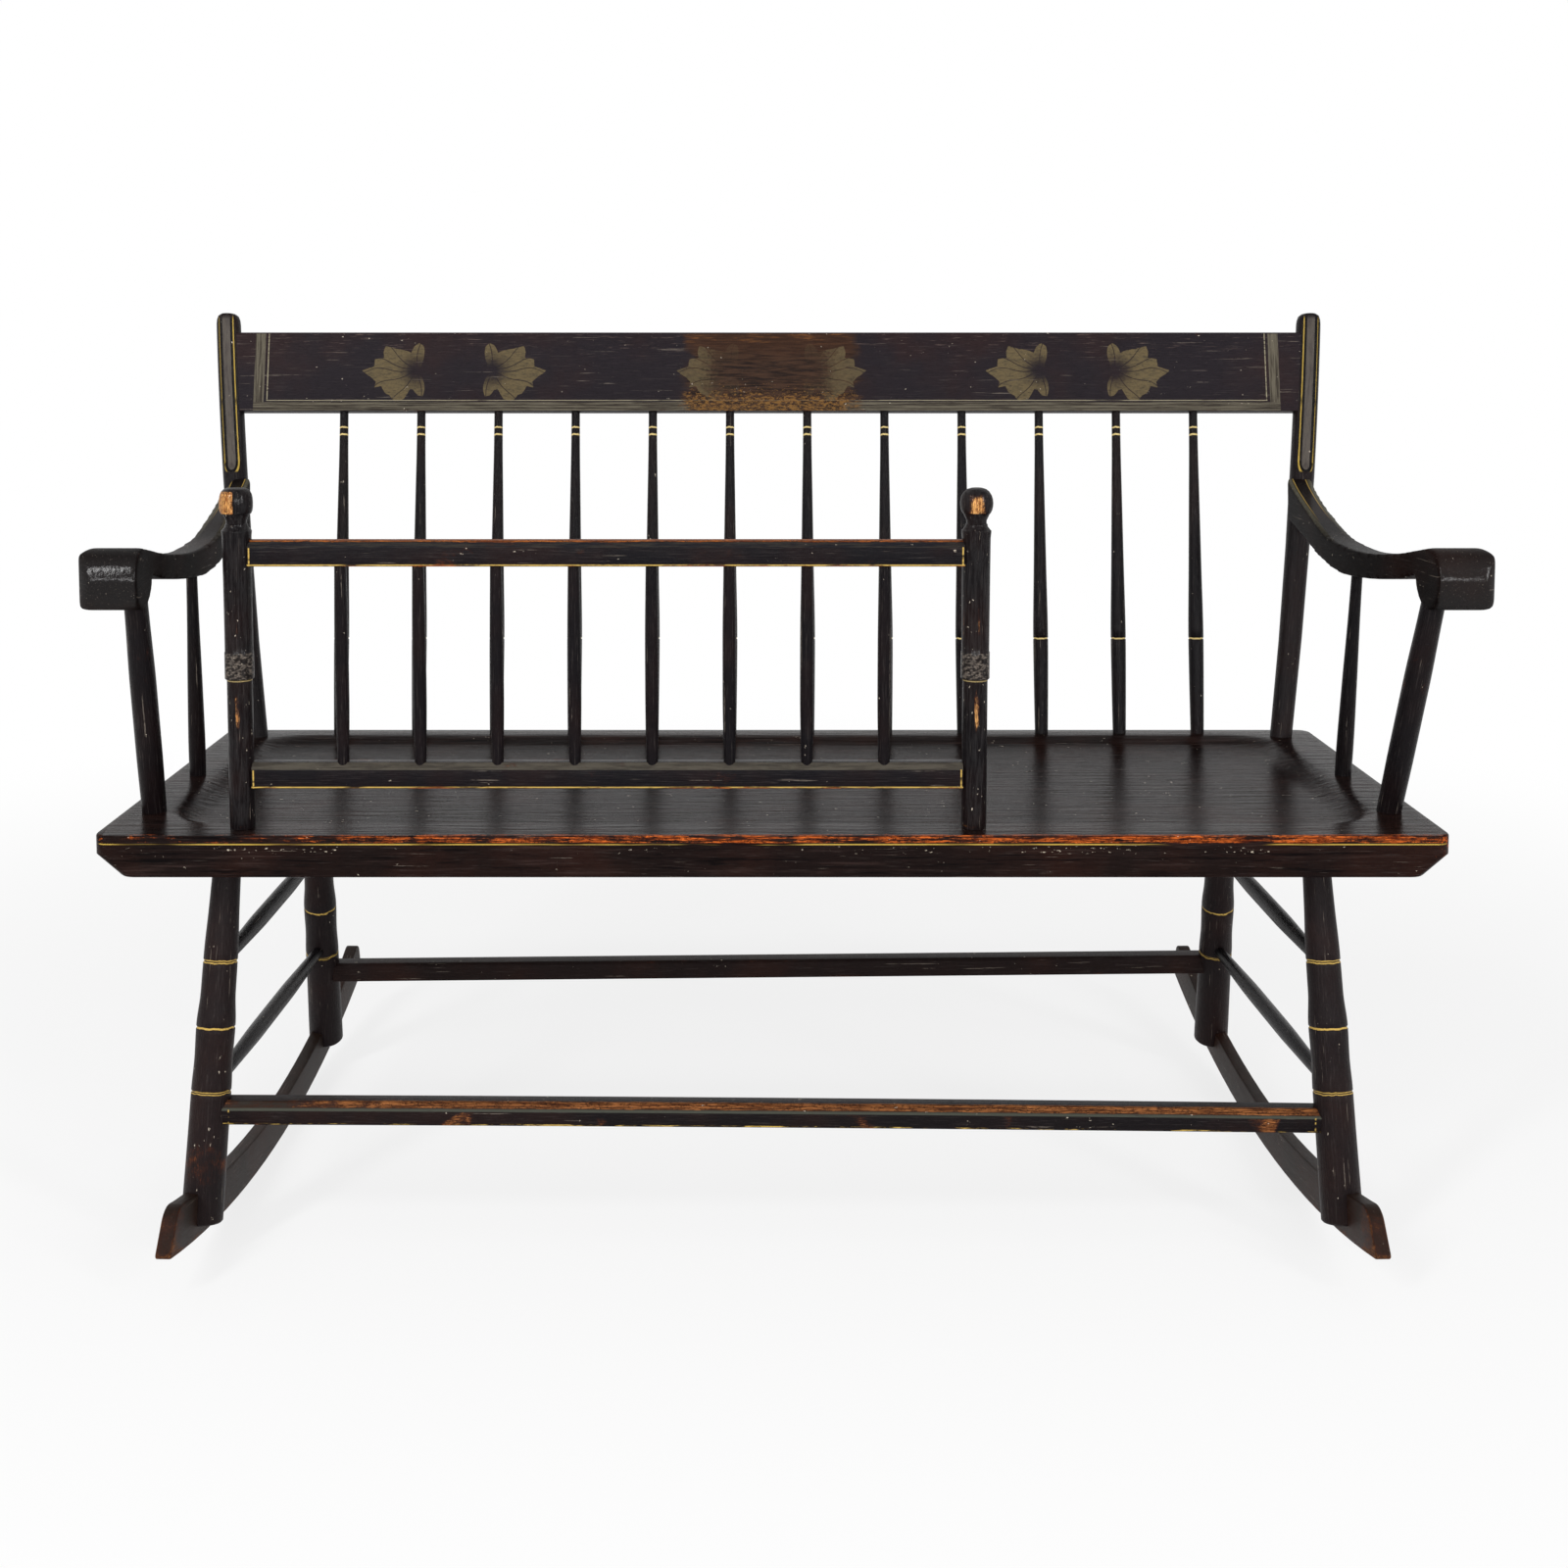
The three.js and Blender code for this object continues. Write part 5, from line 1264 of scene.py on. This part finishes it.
def side_view():
    top, under = ([(ARM_FRONT + ARM_RUN * run, ARM_LOW + ARM_RISE * rise) for run, rise in line]
                  for line in (ARM_TOP, ARM_UNDER))
    top = flowing([*top, (SCROLL_MIDDLE[0], SCROLL_MIDDLE[1] + SCROLL_RADIUS)])
    roll = [(SCROLL_MIDDLE[0] + SCROLL_RADIUS * math.cos(turn), SCROLL_MIDDLE[1] + SCROLL_RADIUS * math.sin(turn))
            for turn in np.linspace(math.pi / 2, math.tau, 40)[1:]]
    return [*top, *roll, *flowing(under)]


def plan_view(tuck):
    """The inner and the outer line seen from above, of the right arm."""
    return [flowing([(ARM_INNER + ARM_FLARE * width - tuck * (1 - run) ** 2, ARM_FRONT + ARM_RUN * run)
                     for run, width in line]) for line in (ARM_INSIDE, ARM_OUTSIDE)]


print("arm outline:", len(side_view()), "points")


# %% The two sawn prisms, crossed
STANDING = Matrix(((0, 0, 1, 0), (1, 0, 0, 0), (0, 1, 0, 0), (0, 0, 0, 1)))
VOXEL, POST_FACE = 0.0021, -0.0093
BLANK_MIDDLE, BLANK_THICK, CUTTER_MIDDLE, CUTTER_THICK = 620, 220, 260, 300


def prism(outline, turn, thickness):
    """A board sawn to an outline of points, with its thickness along the turned z."""
    shape = bmesh.new()
    face = shape.faces.new([shape.verts.new((x * MM, y * MM, 0)) for x, y in outline])
    thicken(shape, [face], Vector((0, 0, thickness * MM)))
    move(shape, turn)
    bmesh.ops.recalc_face_normals(shape, faces=shape.faces[:])
    return shape


def settled(blank):
    """The mesh of an object with its modifiers applied. The object itself is thrown away."""
    seen_mesh = blank.evaluated_get(bpy.context.evaluated_depsgraph_get())
    shape = bmesh.new()
    shape.from_mesh(seen_mesh.to_mesh())
    seen_mesh.to_mesh_clear()
    bpy.data.objects.remove(blank)
    return shape


def sawn_arm(inside, outside, sign):
    """Crosses the two boards, cuts the arm to the leaning post, and gives it an even, fine mesh."""
    plan = [(x * sign, y) for x, y in [*inside, *outside]]
    turn = Matrix.Translation(far((BLANK_MIDDLE * sign, 0, 0))) @ STANDING
    blank = as_object(prism(side_view(), turn, BLANK_THICK), "arm_blank")
    raised = Matrix.Translation(far((0, 0, CUTTER_MIDDLE)))
    cutter = as_object(prism(plan, raised, CUTTER_THICK), "arm_cutter")
    saw = blank.modifiers.new("saw", "BOOLEAN")
    saw.operation, saw.object, saw.solver = "INTERSECT", cutter, "EXACT"
    shape = settled(blank)
    bpy.data.objects.remove(cutter)
    stop = SEAT.inverted() @ LEAN
    saw_off(shape, stop @ Vector((0, POST_FACE, 0)), stop.to_3x3() @ Vector((0, 1, 0)))
    bmesh.ops.triangulate(shape, faces=shape.faces[:])
    fine = as_object(shape, "arm_fine")
    mesh_again = fine.modifiers.new("mesh_again", "REMESH")
    mesh_again.mode, mesh_again.voxel_size = "VOXEL", VOXEL
    return settled(fine)


print("arms are meshed every", VOXEL / MM, "mm")

# %% Rounding the scroll's end
SCROLL_CORNERS, RUBS = ((13, 1), (8, -1)), 6


def rub_smooth(shape, outside, sign):
    """Rounds the scroll's outer end, more above than below, and then sands the whole arm."""
    end = max(x for x, y in outside)
    for point in shape.verts:
        x, z = abs(point.co.x) / MM, point.co.z / MM
        for radius, flip in SCROLL_CORNERS:
            middle = (end - radius, SCROLL_MIDDLE[1] + flip * (SCROLL_RADIUS - radius))
            out, lift = x - middle[0], (z - middle[1]) * flip
            if out > 0 and lift > 0 and math.hypot(out, lift) > radius:
                scale = radius / math.hypot(out, lift)
                point.co.x = (middle[0] + out * scale) * MM * sign
                point.co.z = (middle[1] + lift * scale * flip) * MM
    for _ in range(RUBS):
        bmesh.ops.smooth_vert(shape, verts=shape.verts[:], factor=0.5, use_axis_x=True, use_axis_y=True,
                              use_axis_z=True)


print("scroll corners:", [radius for radius, _ in SCROLL_CORNERS], "mm")

# %% The arm's own grain, and its ridges
def arm_grain(shape, inside, outside):
    """Straightens the arm: x is the share across it, in hundredths, y its height and z its run. Ridge is how
    sharply the surface folds, for the wear on its edges."""
    inner, outer = np.array(inside), np.array(outside)[::-1]
    grain = shape.verts.layers.float_vector.new("grain")
    ridge = shape.verts.layers.float.new("ridge")
    shape.normal_update()
    for point in shape.verts:
        y = point.co.y / MM
        low, high = (np.interp(y, line[:, 1], line[:, 0]) for line in (inner, outer))
        share = (abs(point.co.x) / MM - low) / max(high - low, 1)
        point[grain] = (share * 100, point.co.z / MM, y)
        folds = [point.normal.dot((point.co - e.other_vert(point).co).normalized()) for e in point.link_edges]
        point[ridge] = max(sum(folds) / len(folds), 0)
    for _ in range(2):
        calm = {point: (point[ridge] * 2 + sum(e.other_vert(point)[ridge] for e in point.link_edges))
                / (2 + len(point.link_edges)) for point in shape.verts}
        for point, value in calm.items():
            point[ridge] = value


print("arm grain ready")

# %% [markdown]
# ## The arms' paint
#
# Two bronze strips edged with gold run down each arm from the post and fade towards the hand. The front edge of
# the arm is rubbed to a red-brown. Hands have kept the varnish only on the round front of the scroll, so that is
# where it shines, and a little on the arm's flat top.

# %% Arm finish
def arm_stripes(grain, paint):
    across, _, along = parts_of(grain)
    above = edge(facing_of(grain)[2], 0.35, 0.55)
    thin = figure(grain, (0.2, 0.2, 0.02), detail=4, roughness=0.7)
    strips = edge(across, 20, 16) | edge(across, 76, 80)
    strips = strips * (edge(along, 250, 380) * edge(thin, 0.25, 0.5)) * above
    paint = mix(strips * 0.85, paint, tone(82, 78, 64))
    lines = band(across, 22, 3, 1) | band(across, 74, 3, 1)
    return mix(lines * (edge(along, 330, 420) * edge(thin, 0.25, 0.40)) * above, paint, MUSTARD)


def arm_varnish(grain):
    """Left on the round front of the scroll, and a little on the flat top."""
    _, back, up = facing_of(grain)
    scroll = edge(back, -0.4, -0.95, 0.34) * edge(parts_of(grain)[2], 80, 50)
    return scroll | edge(up, 0.6, 0.9, 0.12)


def arm_wear(grain):
    """Rubbed along the edges of its inner half, most where the hand lies."""
    across, _, along = parts_of(grain)
    ridge = source(grain.tree, "ShaderNodeAttribute", "Fac", attribute_name="ridge")
    return edge(ridge, 0.06, 0.24) * edge(across, 70, 20) * (edge(along, 330, 200, 0.6) + 0.25)


arm_paint = painted("arm_paint", tone(13, 9, 9), 0.2, 0.52, arm_stripes, arm_wear, bare=0.6, relief=0.9,
                    wood=(tone(50, 22, 16), tone(112, 62, 46)), nicked=0.02, shine=0.018, polish=arm_varnish)
for side, sign in SIDES.items():
    inside, outside = plan_view(TUCKS[side])
    shape = sawn_arm(inside, outside, sign)
    rub_smooth(shape, outside, sign)
    arm_grain(shape, inside, outside)
    move(shape, SEAT)
    print("arm", side, len(shape.faces), "faces")
    make_piece(shape, f"arm_{side}", arm_paint)

# %% [markdown]
# ## Pegs and dowels
#
# Eight pegs hold the bench together and hardly show. Their measured shapes are right, so they stay, and get a
# plain turned-wood finish in place of the frame's colour.

# %% Peg wood
def peg_wood():
    material, tree = blank_finish("peg_wood")
    place = source(tree, "ShaderNodeTexCoord", "Object")
    rays_in_wood = figure(place, (900, 160, 900), detail=3, roughness=0.6)
    colour = mix(edge(rays_in_wood, 0.35, 0.65), tone(96, 60, 36), tone(150, 104, 64))
    colour = mix(edge(noise(place, 60, 3), 0.45, 0.62, 0.8), colour, tone(38, 28, 24))
    lay_on(tree, {"Base Color": colour, "Roughness": rays_in_wood * 0.3 + 0.4,
                  "Normal": bumped(rays_in_wood, 0.3, 0.0004)})
    return material


peg_finish = peg_wood()
pegs = [node for name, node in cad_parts.items() if "_pin_" in name or "dowel" in name]
for peg in pegs:
    if not peg.material_slots:
        peg.data.materials.append(peg_finish)
    for place in peg.material_slots:
        place.material = peg_finish
print("pegs kept:", len(pegs))

# %% [markdown]
# ## The floor
#
# The bench stands on a plain white floor that catches its shadow. Part of its white is its own, as seen by the
# camera, so that the shadow stays light, as in a picture cut out on white.

# %% Floor
plane = bmesh.new()
bmesh.ops.create_grid(plane, x_segments=8, y_segments=8, size=14)
bmesh.ops.translate(plane, vec=(0, 6, -0.0005), verts=plane.verts[:])
floor = as_object(plane, "studio_floor")
white, tree = blank_finish("white_floor")
matt = source(tree, "ShaderNodeBsdfDiffuse", 0, {"Color": (0.93, 0.93, 0.93, 1)})
glow = source(tree, "ShaderNodeEmission", 0, {"Color": (1, 1, 1, 1), "Strength": 1.0})
spot = source(tree, "ShaderNodeTexCoord", "Object")
reach = reading("ShaderNodeVectorMath", {0: spot}, "Value", operation="LENGTH")
share = edge(reach, 0.8, 2.4) * 0.22 + 0.78
both = reading("ShaderNodeMixShader", {0: seen_directly(tree) * share, 1: matt, 2: glow})
put(tree, "ShaderNodeOutputMaterial", {"Surface": both})
floor.data.materials.append(white)
print("floor laid")
